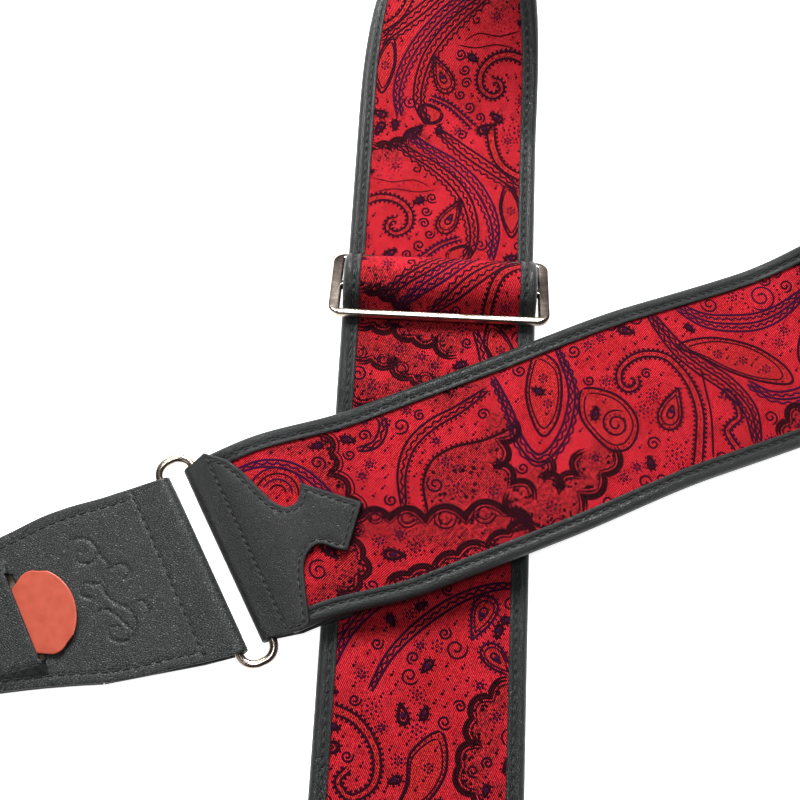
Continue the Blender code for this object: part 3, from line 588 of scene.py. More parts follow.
# ------------------------------------------------------------ woven pattern
def through(points, step=0.8):
    """Smooth line through the points, at about even spacing."""
    pts = np.asarray(points, float)
    ext = np.vstack([2 * pts[0] - pts[1], pts, 2 * pts[-1] - pts[-2]])
    out = []
    for i in range(1, len(ext) - 2):
        p0, p1, p2, p3 = ext[i - 1:i + 3]
        n = max(1, ceil(np.linalg.norm(p2 - p1) / step))
        for f in np.arange(n) / n:
            out.append(0.5 * (2 * p1 + (p2 - p0) * f + (2 * p0 - 5 * p1 + 4 * p2 - p3) * f ** 2
                              + (3 * p1 - p0 - 3 * p2 + p3) * f ** 3))
    return np.array(out + [pts[-1]])


def ring_line(points, step=0.8):
    pts = list(points)
    line = through(pts[-2:] + pts + pts[:2], step)
    first, last = np.array(pts[0]), len(line)
    start = int(np.argmin(np.linalg.norm(line[:last // 2] - first, axis=1)))
    stop = last // 2 + int(np.argmin(np.linalg.norm(line[last // 2:] - first, axis=1)))
    return line[start:stop + 1]


def sideways(line, d):
    t = np.gradient(line, axis=0)
    t /= np.maximum(np.linalg.norm(t, axis=1, keepdims=True), 1e-9)
    return line + np.stack([-t[:, 1], t[:, 0]], -1) * np.asarray(d, float).reshape(-1, 1)


def length_along(line):
    return np.concatenate([[0], np.cumsum(np.linalg.norm(np.diff(line, axis=0), axis=1))])


class Weave:
    """The figured part of the cloth: lines, dots and shaded fields in the band's own s, u."""

    def __init__(self):
        self.lines, self.dots, self.fields = [], [], []
        self.seed = random.Random(7)

    def line(self, pts, width=0.55, tone=0.4):
        self.lines.append((np.asarray(pts, float), width, tone))

    def dot(self, x, y, r=0.5, tone=0.3):
        self.dots.append((x, y, r, tone))

    def field(self, pts, tone):
        self.fields.append((np.asarray(pts, float), tone))

    def beads(self, line, off, gap=1.55, r=0.42, tone=0.4):
        side = sideways(line, off)
        d = length_along(side)
        for x in np.arange(gap / 2, d[-1], gap):
            self.dot(np.interp(x, d, side[:, 0]), np.interp(x, d, side[:, 1]), r, tone)

    def fern(self, pts, w0=2.7, w1=1.5, tone=0.4):
        """Curling stem with a beaded edge."""
        line = through(pts)
        w = np.linspace(w0, w1, len(line)) / 2
        self.line(sideways(line, w), 0.6, tone)
        self.line(sideways(line, -w), 0.6, tone)
        self.field(np.vstack([sideways(line, w), sideways(line, -w)[::-1]]), 0.8)
        self.beads(line, w + 0.62, tone=tone)
        self.beads(line, -w - 0.62, tone=tone)
        self.beads(line, w * 0, 2.6, 0.2, 0.0)

    def sweep(self, pts, offsets=(0, 1.4, 3.0, 4.4), tone=0.5):
        """Parallel stems, every second one wavy, with dots between."""
        line = through(pts)
        d = length_along(line)
        for i, off in enumerate(offsets):
            fade = off * (0.45 + 0.55 * np.sin(np.clip(d / max(d[-1], 1), 0, 1) * pi))
            wave = 0.42 * np.sin(d * 2 * pi / 2.9) if i % 2 else 0.0
            self.line(sideways(line, fade + wave), 0.5 if i % 2 else 0.62, tone)
        edge = sideways(line, np.full(len(line), offsets[-1] * 0.9))
        self.field(np.vstack([line, edge[::-1]]), 0.55)

    def drop(self, x, y, length, width, turn, hook=0.5, tone=0.4):
        """Paisley drop, tip towards turn degrees."""
        a = np.linspace(0, 2 * pi, 46)
        out = []
        for k in (1.0, 0.72, 0.3):
            px = np.cos(a) * length / 2 * k
            py = np.sin(a) * np.sin(a / 2) ** 1.3 * width / 2 * k * 1.25
            lift = ((px + length / 2) / length) ** 2 * hook * width
            px, py = px - (1 - k) * length * 0.12, py + lift
            c, s = cos(radians(turn)), sin(radians(turn))
            out.append(np.stack([x + px * c - py * s, y + px * s + py * c], -1))
        self.field(out[0], 0.9)
        self.line(out[0], 0.6, tone)
        self.line(out[1], 0.4, tone)
        self.line(out[2], 0.5, tone)
        mid = (out[0] + out[1]) / 2
        for i in range(3, 43, 4):
            self.dot(*mid[i], 0.3, tone)
        self.dot(*out[2].mean(0), 0.75, 0.9)
        self.beads(out[0], -0.7, 1.6, 0.3, tone)

    def leaf(self, pts, tone=0.4, flowers=()):
        edge = ring_line(pts)
        mid = edge.mean(0)
        self.field(edge, 0.7)
        self.line(edge, 0.65, tone)
        self.line(mid + (edge - mid) * 0.82, 0.4, tone)
        self.beads(mid + (edge - mid) * 0.91, 0, 2.0, 0.22, 0.2)
        for x, y in flowers:
            self.flower(x, y)

    def flower(self, x, y, r=1.15):
        for i in range(6):
            self.dot(x + r * cos(i * pi / 3), y + r * sin(i * pi / 3), 0.38, 0.8)
        self.line([(x + 0.42 * cos(k * pi / 4), y + 0.42 * sin(k * pi / 4)) for k in range(9)], 0.22, 0.1)

    def petals(self, pts, bulge=0.55, depth=5.0, heavy=1.35, rings=False):
        """Scalloped blossom edge through the valleys pts, bulging to the left of travel."""
        edge = []
        for (x0, y0), (x1, y1) in zip(pts, pts[1:]):
            dx, dy = x1 - x0, y1 - y0
            for f in np.linspace(0, 1, 11)[:-1]:
                h = sin(pi * f) ** 0.7 * bulge
                edge.append((x0 + dx * f - dy * h, y0 + dy * f + dx * h))
        edge.append(pts[-1])
        edge = np.array(edge)
        self.line(edge, heavy, 0.0)
        self.line(sideways(edge, 0.9), 0.7, 0.1)
        inner = sideways(edge, -1.2)
        self.line(inner, 0.38, 0.35)
        base = sideways(through(pts), -depth)
        self.field(np.vstack([edge, base[::-1]]), -0.75)
        for (x0, y0), (x1, y1) in zip(pts, pts[1:]):
            dx, dy = x1 - x0, y1 - y0
            for _ in range(9):
                f, h = self.seed.uniform(0.12, 0.88), self.seed.uniform(-0.25, 0.62) * bulge
                self.dot(x0 + dx * f - dy * h, y0 + dy * f + dx * h, self.seed.uniform(0.25, 0.55), 0.1)
            if rings:
                cx, cy, r0 = x0 + dx / 2 - dy * 0.1, y0 + dy / 2 + dx * 0.1, hypot(dx, dy)
                for k in (0.16, 0.27):
                    self.line(circle(cx, cy, r0 * k), 0.38, 0.3)

    def fan(self, x, y, radii, a0, a1, tone=0.9):
        for i, r in enumerate(radii):
            line = np.array(arc(x, y, r, a0, a1, 24))
            self.line(line, 0.5, tone if i % 2 else 0.3)
            self.beads(line, 0.75, 1.9, 0.24, 0.4)
        self.field(line, 0.6)

    def curl(self, x, y, r, turns=1.6, start=0.0, tone=0.5):
        a = np.linspace(0, turns * 2 * pi, int(26 * turns))
        k = 1 - a / (turns * 2 * pi) * 0.86
        self.line(np.stack([x + r * k * np.cos(a + start), y + r * k * np.sin(a + start)], -1), 0.5, tone)

    def placed(self, other, where):
        """Adds another weave, its points moved by where(x, y)."""
        for pts, w, t in other.lines:
            self.lines.append((where(pts), w, t))
        for x, y, r, t in other.dots:
            px, py = where(np.array([[x, y]]))[0]
            self.dots.append((px, py, r, t))
        for pts, t in other.fields:
            self.fields.append((where(pts), t))


def blossom_cloth():
    """Pattern of the diagonal end, s from -48 to 135."""
    w = Weave()
    w.fern([(74.4, -27), (79.7, -18.1), (83.5, -10.7), (85.1, -3.9), (84.8, 2.9), (82.2, 9.7), (77, 12.8),
            (71.3, 13.1), (66.2, 11), (64.1, 7.2), (65.5, 4.2), (69.0, 4.6), (69.6, 7.3)])
    w.drop(75.2, -5.5, 14.5, 8.2, 62, -0.35)
    w.leaf([(44.5, 26), (48.3, 20), (46.2, 11.8), (41.4, 4.2), (35.7, 0.6), (34.1, 4.8), (35.5, 14.3), (40, 22)],
           flowers=[(42.5, 17.5), (40.5, 9.5)])
    w.sweep([(29.2, 24), (29.9, 12), (29.4, 3), (31.5, -3.8), (37.3, -2.1), (43.5, 3.5), (48.5, 12), (50, 25)],
            (0, -1.1, -2.4, -3.4), 0.7)
    w.leaf([(52.5, 9.5), (60.7, 4.6), (64.0, -2.8), (62.7, -8.6), (57.6, -12.6), (52.3, -11.0), (49.3, -4.6),
            (48.2, 2.5)])
    w.curl(57.2, -4.4, 4.6, 1.9, 0.6)
    w.beads(circle(57.2, -4.4, 3.2, 0, 6.3), 0, 1.6, 0.3)
    w.petals([(53.5, -10.5), (46.7, -16.5), (38.2, -19.5), (28.8, -24.8), (20.5, -19), (18.9, -11.5)], 0.38, 6, 1.5)
    w.petals([(29, 9), (22.5, 4.4), (17.6, -2.3), (20.2, -9.5), (24.5, -16)], 0.42, 6, 1.3)
    w.petals([(33.5, -5.5), (29.5, -10.5), (33, -16.5), (40.5, -15), (45, -8.5)], 0.4, 4, 0.7)
    w.leaf([(87.5, 12.6), (99, 11.8), (110.8, 5), (117.4, -4.4), (117, -10.2), (109.3, -7.6), (100.2, -1.1), (93, 6.6)],
           flowers=[(98.5, 6), (105.5, 1.6), (111.3, -3.4)])
    w.sweep([(85.0, 27), (86.6, 20), (89.3, 12.0), (94.2, 4.4), (98.6, -2), (101.3, -9.2), (101.6, -16.2), (97.5, -27)],
            (0, -1.4, -2.7, -4.2, -5.6), 0.55)
    w.line(through([(91.0, 3.4), (88.9, -4.5), (86.8, -12), (80.6, -26)]), 0.55, 0.4)
    w.sweep([(92.0, 27), (94.2, 21.5), (98.4, 16.2), (105, 12.4), (114.9, 9.6), (124.8, 10.4), (136, 14.5)],
            (0, 1.4, 2.7, 4.4, 5.8), 0.8)
    w.curl(121.6, 19.6, 4.9, 1.8, 3.6, 0.7)
    w.beads(circle(121.6, 19.6, 6, 2.2, 6.6, 24), 0, 1.7, 0.36)
    w.sweep([(103.8, -5.0), (109.6, -10.9), (119.3, -12.4), (130, -8), (138, 0)], (0, -1.5, -2.9, -4.3), 0.85)
    w.leaf([(131, 6), (139, 2), (142, -7), (136, -16), (127, -14), (123, -4)], flowers=[(133, -3), (131, -9)])
    w.fern([(90.6, -27), (89.2, -19), (91.5, -16.6), (95.2, -15.2), (96.4, -10), (95.2, -6.5), (92.8, -8.4)],
           2.0, 1.2, 0.6)
    w.petals([(106, -27), (110, -21.5), (117, -19.5), (124, -22), (128, -27)], 0.4, 5, 0.9)
    # towards the ring
    outer = [(26, 20), (15.1, 16.6), (6.6, 15.0), (-1.2, 11.6), (-7.0, 4.9), (-10.6, -4.5)]
    w.sweep(outer, (0, -1.5, -3.1), 0.4)
    w.beads(through(outer), 0.8, 1.6, 0.34)
    inner = through([(27, 6.5), (18.2, 6.2), (9, 7.4), (1.4, 5.7), (-3.4, 0.1), (-5.4, -8.5)])
    w.line(inner, 0.7, 0.1)
    w.beads(inner, -0.75, 1.6, 0.34, 0.1)
    w.field(np.vstack([inner, [(8, -11), (18, -6), (17, 1)]]), -0.8)
    for _ in range(16):
        w.dot(w.seed.uniform(-1, 15), w.seed.uniform(-8, 4.5), w.seed.uniform(0.35, 0.7), 0.15)
    w.flower(7.5, 0.8)
    w.petals([(-26.5, -10), (-23.6, -3.4), (-16.4, -6.4), (-7.2, -10.8), (4.0, -14.6), (15.5, -16.6), (19.5, -25)],
             0.36, 7, 1.5, rings=True)
    w.petals([(-31, -9), (-27.8, -15), (-30.6, -20.5), (-37, -22.5), (-40, -27)], 0.36, 6, 1.2)
    w.petals([(22, -24), (14, -22.5), (7, -25.5), (-2, -23), (-10, -26), (-17, -23.5), (-24, -27)][::-1], 0.3, 5, 0.8)
    w.fan(-43.5, 10.5, (2.2, 4.0, 5.8, 7.8), -30, 140)
    w.sweep([(-52, 22), (-44, 21.5), (-36, 17.5), (-30.5, 10), (-27, 0)], (0, -1.3, -2.6), 0.9)
    w.petals([(-41, 26.5), (-33.5, 24.8), (-26, 25.2), (-24.4, 18.0), (-27.5, 12.0), (-24.5, 4.0), (-24.0, -3.0)][::-1],
             -0.32, -5, 1.1)
    w.sweep([(-10, 27), (-8.5, 22.5), (-12, 18), (-17.5, 17.5)], (0, 1.2, 2.4), 0.5)
    w.flower(-6.5, 22.0)
    w.petals([(8, 27), (14, 22.5), (21, 24), (27, 27)], 0.4, 4, 0.9)
    return w


def stem_cloth():
    """Pattern of the straight length behind the slider, as (distance past the slider, u)."""
    w = Weave()
    w.fern([(66.5, -28), (69.4, -21), (68.2, -14.8), (63.8, -10.9), (58.6, -11.2), (56.2, -14.9), (58.0, -17.9),
            (60.9, -17.2), (61.4, -14.8)], 2.4, 1.4)
    w.drop(63.6, 1.4, 13.5, 7.2, 8, 0.5)
    w.sweep([(92, -17), (87.6, -11), (83.0, -3.0), (76.9, 4.3), (69.4, 9.3), (59.8, 11.6), (52, 11.0), (45, 7)],
            (0, 1.5, 3.2, 4.7), 0.45)
    w.sweep([(95, -13), (89.7, -5.5), (84, 4.0), (76, 12.0), (67, 16.8), (57.7, 18.6), (48, 17)],
            (0, 1.3, 2.9, 4.4), 0.8)
    w.sweep([(96, -2), (88.7, 8.2), (82.3, 17.2), (75.0, 25.5)], (0, 1.6, 3.4, 5.0), 0.5)
    w.fern([(99, 14.5), (90, 15.6), (83, 19.0), (78, 27)], 2.6, 2.2, 0.2)
    w.leaf([(76, 20.4), (72, 24), (64, 25.5), (57, 23), (60, 20.5), (68, 18.6)], flowers=[(66.5, 22.2)])
    w.petals([(86, -28), (88.5, -23.0), (87.4, -18.5), (90.6, -13.5), (94.5, -8)][::-1], 0.38, 5, 1.4)
    w.fern([(45, -9), (49.5, -4.4), (53.2, 0.3), (55.6, 6.2)], 1.6, 1.2, 0.7)
    w.curl(53.5, 12.5, 2.4, 1.5, 0.5, 0.7)
    w.leaf([(50.5, 2), (53, 7.5), (50, 10), (46, 6.5), (47, 2.5)])
    for _ in range(26):
        w.dot(w.seed.uniform(74, 84), w.seed.uniform(-23, -8), 0.22, 0.25)
    w.curl(80.5, -9.5, 1.5, 1.0, 1.0, 0.2)
    w.line(through([(76.5, -24), (75.2, -17), (76.2, -10), (74.0, -5)]), 0.3, 0.2)
    w.line(through([(71.5, -22), (72.6, -16), (71.8, -9), (72.8, -3)]), 0.3, 0.2)
    return w


def lower_cloth():
    """Pattern of the adjusting length, as (y, u), from the slider to the rear ring."""
    w = Weave()
    w.petals([(24, -27), (19.5, -20.5), (21.5, -13), (16, -7.5), (17, 0), (11, 6)], 0.36, 6, 1.3)
    w.petals([(14, -27), (8.5, -20), (9.5, -12.5), (3.0, -7.5), (4.0, 1)], 0.4, 6, 1.1, rings=True)
    w.sweep([(20, 12), (12, 15.5), (4, 17.0), (-4, 15.5), (-12, 11)], (0, 1.5, 3.0), 0.5)
    w.leaf([(22, 16), (17, 22), (8, 25), (4, 21), (9, 18), (15, 14.5)], flowers=[(13.5, 19.5)])
    w.petals([(0, -26), (-5, -19), (-4, -12), (-10, -6), (-9, 2), (-15, 8)], 0.38, 6, 1.2)
    w.fern([(-18, 28), (-22, 18), (-29, 12), (-38, 10), (-44, 14), (-43, 20), (-37, 20)], 2.4, 1.4)
    w.leaf([(-20, -24), (-27, -16), (-37, -13), (-44, -18), (-38, -23), (-28, -26)], flowers=[(-30, -19), (-37, -18)])
    w.sweep([(-88, -26), (-76, -20.5), (-66, -11), (-58.5, 1), (-53.5, 14), (-51.5, 28)], (0, -1.4, -3.0, -4.4), 0.75)
    w.sweep([(-92, -14), (-82, -8.5), (-73, 0), (-65.5, 10), (-61, 20), (-60, 28)], (0, -1.4, -2.8), 0.6)
    w.drop(-69.5, 17.5, 13.5, 8.0, 185, 0.4, 0.7)
    w.curl(-60.5, -19.5, 4.2, 1.8, 1.0, 0.8)
    w.beads(circle(-60.5, -19.5, 5.4, 0, 6.3, 30), 0, 1.7, 0.32)
    w.flower(-78.0, 4.0, 1.5)
    w.drop(-82.0, 21.0, 12.0, 7.0, 150, -0.4, 0.6)
    w.petals([(-88, 28), (-92, 20), (-98, 15), (-105, 17), (-111, 12), (-118, 16), (-122, 27)], 0.36, 6, 1.3)
    w.fern([(-96, -28), (-100, -18), (-108, -12), (-117, -12), (-121, -18), (-117, -22), (-113, -19)], 2.6, 1.5)
    w.leaf([(-102, 6), (-112, 8), (-121, 3), (-126, -6), (-117, -3), (-108, -2)], flowers=[(-112, 3)])
    w.sweep([(-124, 26), (-131, 14), (-141, 6), (-152, 2), (-165, 1)], (0, 1.5, 3.0, 4.5), 0.6)
    w.drop(-143, -12, 15, 9, 20, 0.4, 0.5)
    w.petals([(-132, -27), (-134, -20), (-141, -22), (-149, -21), (-157, -25)], 0.36, 5, 1.1)
    return w


def sprigs(w, x0, x1):
    """Small figures wherever the large ones leave the cloth bare."""
    taken = np.vstack([p for p, _, _ in w.lines] + [np.array([(x, y) for x, y, _, _ in w.dots])])
    for x in np.arange(x0, x1, 2.6):
        for y in np.arange(-24.5, 25.0, 2.6):
            cx, cy = x + w.seed.uniform(-1, 1), y + w.seed.uniform(-1, 1)
            room = float(np.min(np.hypot(taken[:, 0] - cx, taken[:, 1] - cy))) - 0.7
            if room < 1.1:
                continue
            r, kind = min(room, 3.4), w.seed.random()
            if r < 1.7:
                w.dot(cx, cy, 0.42, 0.3)
                w.dot(cx + 0.9, cy + 0.5, 0.28, 0.6)
            elif kind < 0.4:
                w.flower(cx, cy, r * 0.5)
                w.beads(circle(cx, cy, r, 0, 6.28, 16), 0, 1.5, 0.26)
            elif kind < 0.75:
                w.curl(cx, cy, r, 1.5, w.seed.uniform(0, 6), 0.5)
            else:
                w.drop(cx, cy, r * 2.0, r * 1.1, w.seed.uniform(0, 360), 0.3, 0.3)
            taken = np.vstack([taken, [(cx + k * r * cos(a), cy + k * r * sin(a)) for k in (0.5, 1) for a in range(7)]])
    return w


def put(d, along=1.0, flip=1.0):
    """Moves a repeat to d; along or flip of -1 mirrors it lengthwise or across."""
    return lambda p: np.stack([d + p[:, 0] * along, p[:, 1] * flip], -1)


BLOSSOM = sprigs(blossom_cloth(), -52, 140)
STEM = sprigs(stem_cloth(), 44, 96)
LOWER = sprigs(lower_cloth(), -165, 26)
REPEAT, S_BAR = 192.0, S_STRAIGHT + Y_STRAIGHT       # length of the blossom repeat; s where y would be 0
main_weave, tail_weave = Weave(), Weave()
for i, flip in enumerate((1.0, -1.0, 1.0, -1.0)):
    main_weave.placed(BLOSSOM, put(REPEAT * i, 1, flip))
main_weave.placed(STEM, put(S_BAR, -1))
main_weave.placed(STEM, put(S_BAR - 52.0, -1, -1))
tail_weave.placed(LOWER, put(S_TOP + TOP_Y, -1))
tail_weave.placed(STEM, put(-60.0))
tail_weave.placed(BLOSSOM, put(300.0))
tail_weave.placed(LOWER, put(428.0, -1))
sprigs(main_weave, S_STRAIGHT - 70.0, S_STRAIGHT + 20.0)      # between the repeats


def inside(poly, x, y):
    hit = np.zeros(x.shape, bool)
    px, py = poly[:, 0], poly[:, 1]
    for i in range(len(poly)):
        x0, y0, x1, y1 = px[i - 1], py[i - 1], px[i], py[i]
        if y0 != y1:
            hit ^= ((y0 > y) != (y1 > y)) & (x < (x1 - x0) * (y - y0) / (y1 - y0) + x0)
    return hit


def tones(weave, s, u):
    out = np.zeros(len(s))
    for poly, tone in weave.fields:
        near = (s > poly[:, 0].min()) & (s < poly[:, 0].max()) & (u > poly[:, 1].min()) & (u < poly[:, 1].max())
        idx = np.nonzero(near)[0]
        if len(idx):
            out[idx[inside(poly, s[idx], u[idx])]] = tone
    return out


YARN_WEIGHT, HEAVY_WEIGHT, DOT_SCALE = 1.55, 0.9, 1.3
RISE, SINK = 0.07, 0.12          # of the yarn over and into the ground
DOT_ANGLES = np.arange(7) * 2 * pi / 7


def brocade(weave, path, s0, s1, u1=25.2):
    """Raised figure yarn: every line is a low closed ridge on the cloth."""
    faces, flats, tone_of = [], [], []
    size = 0

    def keep(p):
        return (p[:, 0] > s0) & (p[:, 0] < s1) & (np.abs(p[:, 1]) < u1)

    def push(su, dv, tone, rings):
        nonlocal size
        s, u = su[:, 0], su[:, 1]
        flats.append(np.stack([s, u, face_v(u) + dv], -1))
        tone_of.append(np.full(len(s), tone))
        faces.extend(skin(rings, len(s) // rings, size))
        size += len(s)

    for pts, width, tone in weave.lines:
        if len(pts) < 2:
            continue
        step = np.linalg.norm(np.diff(pts, axis=0), axis=1)
        pts = pts[np.concatenate([[True], step > 1e-4])]
        ok = keep(pts)
        cuts = np.nonzero(np.diff(ok.astype(int)))[0] + 1
        for run in np.split(np.arange(len(pts)), cuts):
            if len(run) < 3 or not ok[run[0]]:
                continue
            line = pts[run]
            ends = np.minimum(np.arange(len(line)), np.arange(len(line))[::-1])
            w = width * (YARN_WEIGHT if width < 1.0 else HEAVY_WEIGHT) * np.clip(0.35 + ends * 0.3, 0, 1)
            rows = [sideways(line, w * k) for k in (0.5, 0.34, -0.34, -0.5)]
            push(np.stack(rows, 1).reshape(-1, 2), np.tile([-SINK, RISE, RISE, -SINK], len(line)), tone, len(line))
    for x, y, r, tone in weave.dots:
        r = r * DOT_SCALE
        if s0 + r < x < s1 - r and abs(y) < u1 - r:
            rows = [np.stack([x + k * np.cos(DOT_ANGLES), y + k * np.sin(DOT_ANGLES)], -1) for k in (r, r * 0.75)]
            push(np.vstack(rows), np.repeat([-SINK, RISE + 0.02], 7), tone, 2)
    flat = np.vstack(flats)
    return path.at(flat[:, 0], flat[:, 1], flat[:, 2]), faces, flat, np.concatenate(tone_of)


# ------------------------------------------------------------ stitches
def sew(name, runs, mat=THREAD, pitch=2.9, length=2.15, r=0.3, **how):
    """runs is a list of (points, normals) in metres; a plump stitch lies at every pitch."""
    verts, faces, flats = [], [], []
    ring = [(cos(k * pi / 3), sin(k * pi / 3)) for k in range(6)]
    shape = [(-0.5, 0.35, -0.75), (-0.34, 0.9, -0.1), (0.0, 1.0, 0.12), (0.34, 0.9, -0.1), (0.5, 0.35, -0.75)]
    for pts, normals in runs:
        pts, normals = np.asarray(pts), np.asarray(normals)
        d = np.concatenate([[0], np.cumsum(np.linalg.norm(np.diff(pts, axis=0), axis=1))]) * 1000
        count = int(d[-1] // pitch)
        if not count:
            continue
        gap = d[-1] / count
        mids = (np.arange(count) + 0.5) * gap
        at = lambda x, rows: np.stack([np.interp(x, d, rows[:, k]) for k in range(3)], -1)
        p, n = at(mids, pts), at(mids, normals)
        t = unit(at(mids + 0.3, pts) - at(mids - 0.3, pts))
        n = unit(n - t * np.sum(t * n, 1, keepdims=True))
        side = np.cross(t, n)
        for i in range(count):
            base = len(verts)
            for along, fat, lift in shape:
                c = p[i] + t[i] * along * length * 0.001 + n[i] * lift * r * 0.001
                for a, b in ring:
                    verts.append(c + (side[i] * a * 1.15 + n[i] * b) * fat * r * 0.001)
                    flats.append((mids[i] + along * length, a, b))
            faces += skin(len(shape), len(ring), base)
    return piece(name, verts, faces, mat, flats, sharp=80, **how)


# ------------------------------------------------------------ build the band
SEAM_U = 26.58                   # bottom of the edging's groove


for prefix, part, path, ss, how in PARTS:
    weave = main_weave if prefix == "main" else tail_weave
    coarse = ss[::2] if len(ss) % 2 else np.append(ss[::2], ss[-1])
    fine = ss if prefix == "tail" else steps(ss[0], ss[-1], 1.6)
    low_v = PAD_T / 2 + GAP

    def layer(kind, at, cols, top, bottom, mat, slot, shaded=False):
        verts, faces, flat = loft(path, at, slab(CORE_HALF, cols, top, bottom))
        tone = tones(weave, flat[:, 0], flat[:, 1]) if shaded else None
        return piece(name_of(prefix, kind, part), verts, faces, mat, flat, tone, nodes=[prefix + "_" + kind],
                     slot=slot, **how)

    face = layer("face", fine, 37, face_v, lambda u: face_v(u) - FACE_T, RED, "jacquard", True)
    verts, faces, flat, tone = brocade(weave, path, ss[0] + 0.4, ss[-1] - 0.4)
    figure = piece(name_of(prefix, "figure", part), verts, faces, YARN, flat, tone, slot="jacquard", sharp=70, **how)
    pad = layer("padding", coarse if prefix == "main" else ss, 9, lambda u: face_v(u) - FACE_T - GAP * 0.6,
                lambda u: -PAD_T / 2, FOAM, "foam")
    lining = layer("lining", ss, 13, lambda u: -low_v,
                   lambda u: -low_v - LINING_T * (1 if abs(u) > 24.5 else 1.25), SUEDE, "lining")
    size = (2 * CORE_HALF * 0.001, (ss[-1] - ss[0]) * 0.001)
    rows = []
    for side, word in ((1, "left"), (-1, "right")):
        verts, faces, flat = loft(path, ss, edging(side))
        if side < 0:
            faces = [f[::-1] for f in faces]
        flat[:, 1] += 8 * np.sign(flat[:, 2]) * (np.abs(flat[:, 1]) < 29)
        piece(name_of(prefix, "binding_" + word, part), verts, faces, EDGE, flat,
              nodes=[prefix + "_binding_" + word], slot="edging", sharp=60, **how)
        s = steps(ss[0] + 0.6, ss[-1] - 0.6, 1.0)
        for v, out in ((1.55, 1), (-1.55, -1)):      # the seam through both lips of the edging
            p = path.at(s, side * SEAM_U, v)
            rows.append((p, path.at(s, side * SEAM_U, v + out) - p))
    sew(name_of(prefix, "stitching", part), rows, slot="edging", **how)


# ------------------------------------------------------------ cut leather
def dense(loop, step=1.1):
    pts = []
    for (x0, y0), (x1, y1) in zip(loop, list(loop[1:]) + [loop[0]]):
        n = max(1, ceil(hypot(x1 - x0, y1 - y0) / step))
        pts += [(x0 + (x1 - x0) * k / n, y0 + (y1 - y0) * k / n) for k in range(n)]
    return np.array(pts)


def distance(pts, loop, closed=True):
    """Distance from each point to a line."""
    a = np.asarray(loop, float)
    b = np.roll(a, -1, axis=0) if closed else a[1:]
    a = a if closed else a[:-1]
    best = np.full(len(pts), 1e9)
    for p, q in zip(a, b):
        e = q - p
        f = np.clip(((pts - p) @ e) / max(e @ e, 1e-12), 0, 1)
        best = np.minimum(best, np.hypot(*(pts - p - f[:, None] * e).T))
    return best


def signed_area(loop):
    x, y = loop[:, 0], loop[:, 1]
    return 0.5 * np.sum(x * np.roll(y, -1) - y * np.roll(x, -1))


def normals(loop):
    t = unit(np.roll(loop, -1, 0) - np.roll(loop, 1, 0))
    return np.stack([-t[:, 1], t[:, 0]], -1)


def leather(name, outline, holes, place, relief=None, grid=(None, None), extra=None, thick=LEA_T, edge_r=0.45,
            rims=(0.16, 0.45, 0.95, 1.7, 2.5, 3.2, 3.9), mat=LEATHER, **how):
    """A cut sheet with rounded edges. place(x, y, w) maps the flat cut to metres, w up from its middle."""
    loops = [dense(outline)] + [dense(h, 0.8) for h in holes]
    # the outline runs one way and the holes the other, so the left of each is leather
    loops = [l if (signed_area(l) > 0) == (i == 0) else l[::-1] for i, l in enumerate(loops)]

    def to_edge(p):
        return np.min([distance(p, l) for l in loops], axis=0)

    def on_leather(p):
        hits = [inside(l, p[:, 0], p[:, 1]) for l in loops]
        return hits[0] & ~np.any(hits[1:], axis=0) if holes else hits[0]

    inner = []
    for i, loop in enumerate(loops):
        for r in (rims if i == 0 else rims[:3]):
            p = loop + normals(loop) * r
            inner.append(p[to_edge(p) > r * 0.96])
    gx, gy = np.meshgrid(*grid, indexing="ij")
    pts = np.stack([gx.ravel(), gy.ravel()], -1)
    if extra is not None:
        pts = np.vstack([pts, extra])
    pts = pts[on_leather(pts) & (to_edge(pts) > 0.55)]
    rim_pts = np.vstack(inner)
    # grid points that crowd a rim point are dropped
    keys = set(map(tuple, np.round(rim_pts / 0.5).astype(int)))
    pts = pts[[tuple(k) not in keys for k in np.round(pts / 0.5).astype(int)]]
    everything = np.vstack(loops + [rim_pts, pts])
    edges, start = [], 0
    for loop in loops:
        n = len(loop)
        edges += [(start + k, start + (k + 1) % n) for k in range(n)]
        start += n
    found = delaunay_2d_cdt([Vector(p) for p in everything], edges, [], 1, 1e-5, False)
    co, tris = np.array([tuple(p) for p in found[0]]), [tuple(t) for t in found[2]]
    kept = on_leather(np.array([co[list(t)].mean(0) for t in tris]))
    tris = [t if signed_area(co[list(t)]) > 0 else t[::-1] for t, ok in zip(tris, kept) if ok]
    gap = to_edge(co)
    drop = edge_r - np.sqrt(np.maximum(edge_r ** 2 - np.clip(edge_r - gap, 0, edge_r) ** 2, 0))
    lift = relief(co[:, 0], co[:, 1], gap) if relief else 0.0
    top = place(co[:, 0], co[:, 1], thick / 2 - drop + lift)
    low = place(co[:, 0], co[:, 1], -thick / 2 + drop)
    n = len(co)
    faces = tris + [(a + n, c + n, b + n) for a, b, c in tris]
    sides = dict.fromkeys(e for a, b, c in tris for e in ((a, b), (b, c), (c, a)))
    faces += [(b, a, a + n, b + n) for a, b in sides if (b, a) not in sides]
    flat = np.vstack([np.column_stack([co, np.zeros(n)]), np.column_stack([co, np.full(n, 20.0)])])
    used = sorted({k for f in faces for k in f})
    remap = {k: i for i, k in enumerate(used)}
    faces = [tuple(remap[k] for k in f) for f in faces]
    return piece(name, np.vstack([top, low])[used], faces, mat, flat[used], sharp=55, **how)


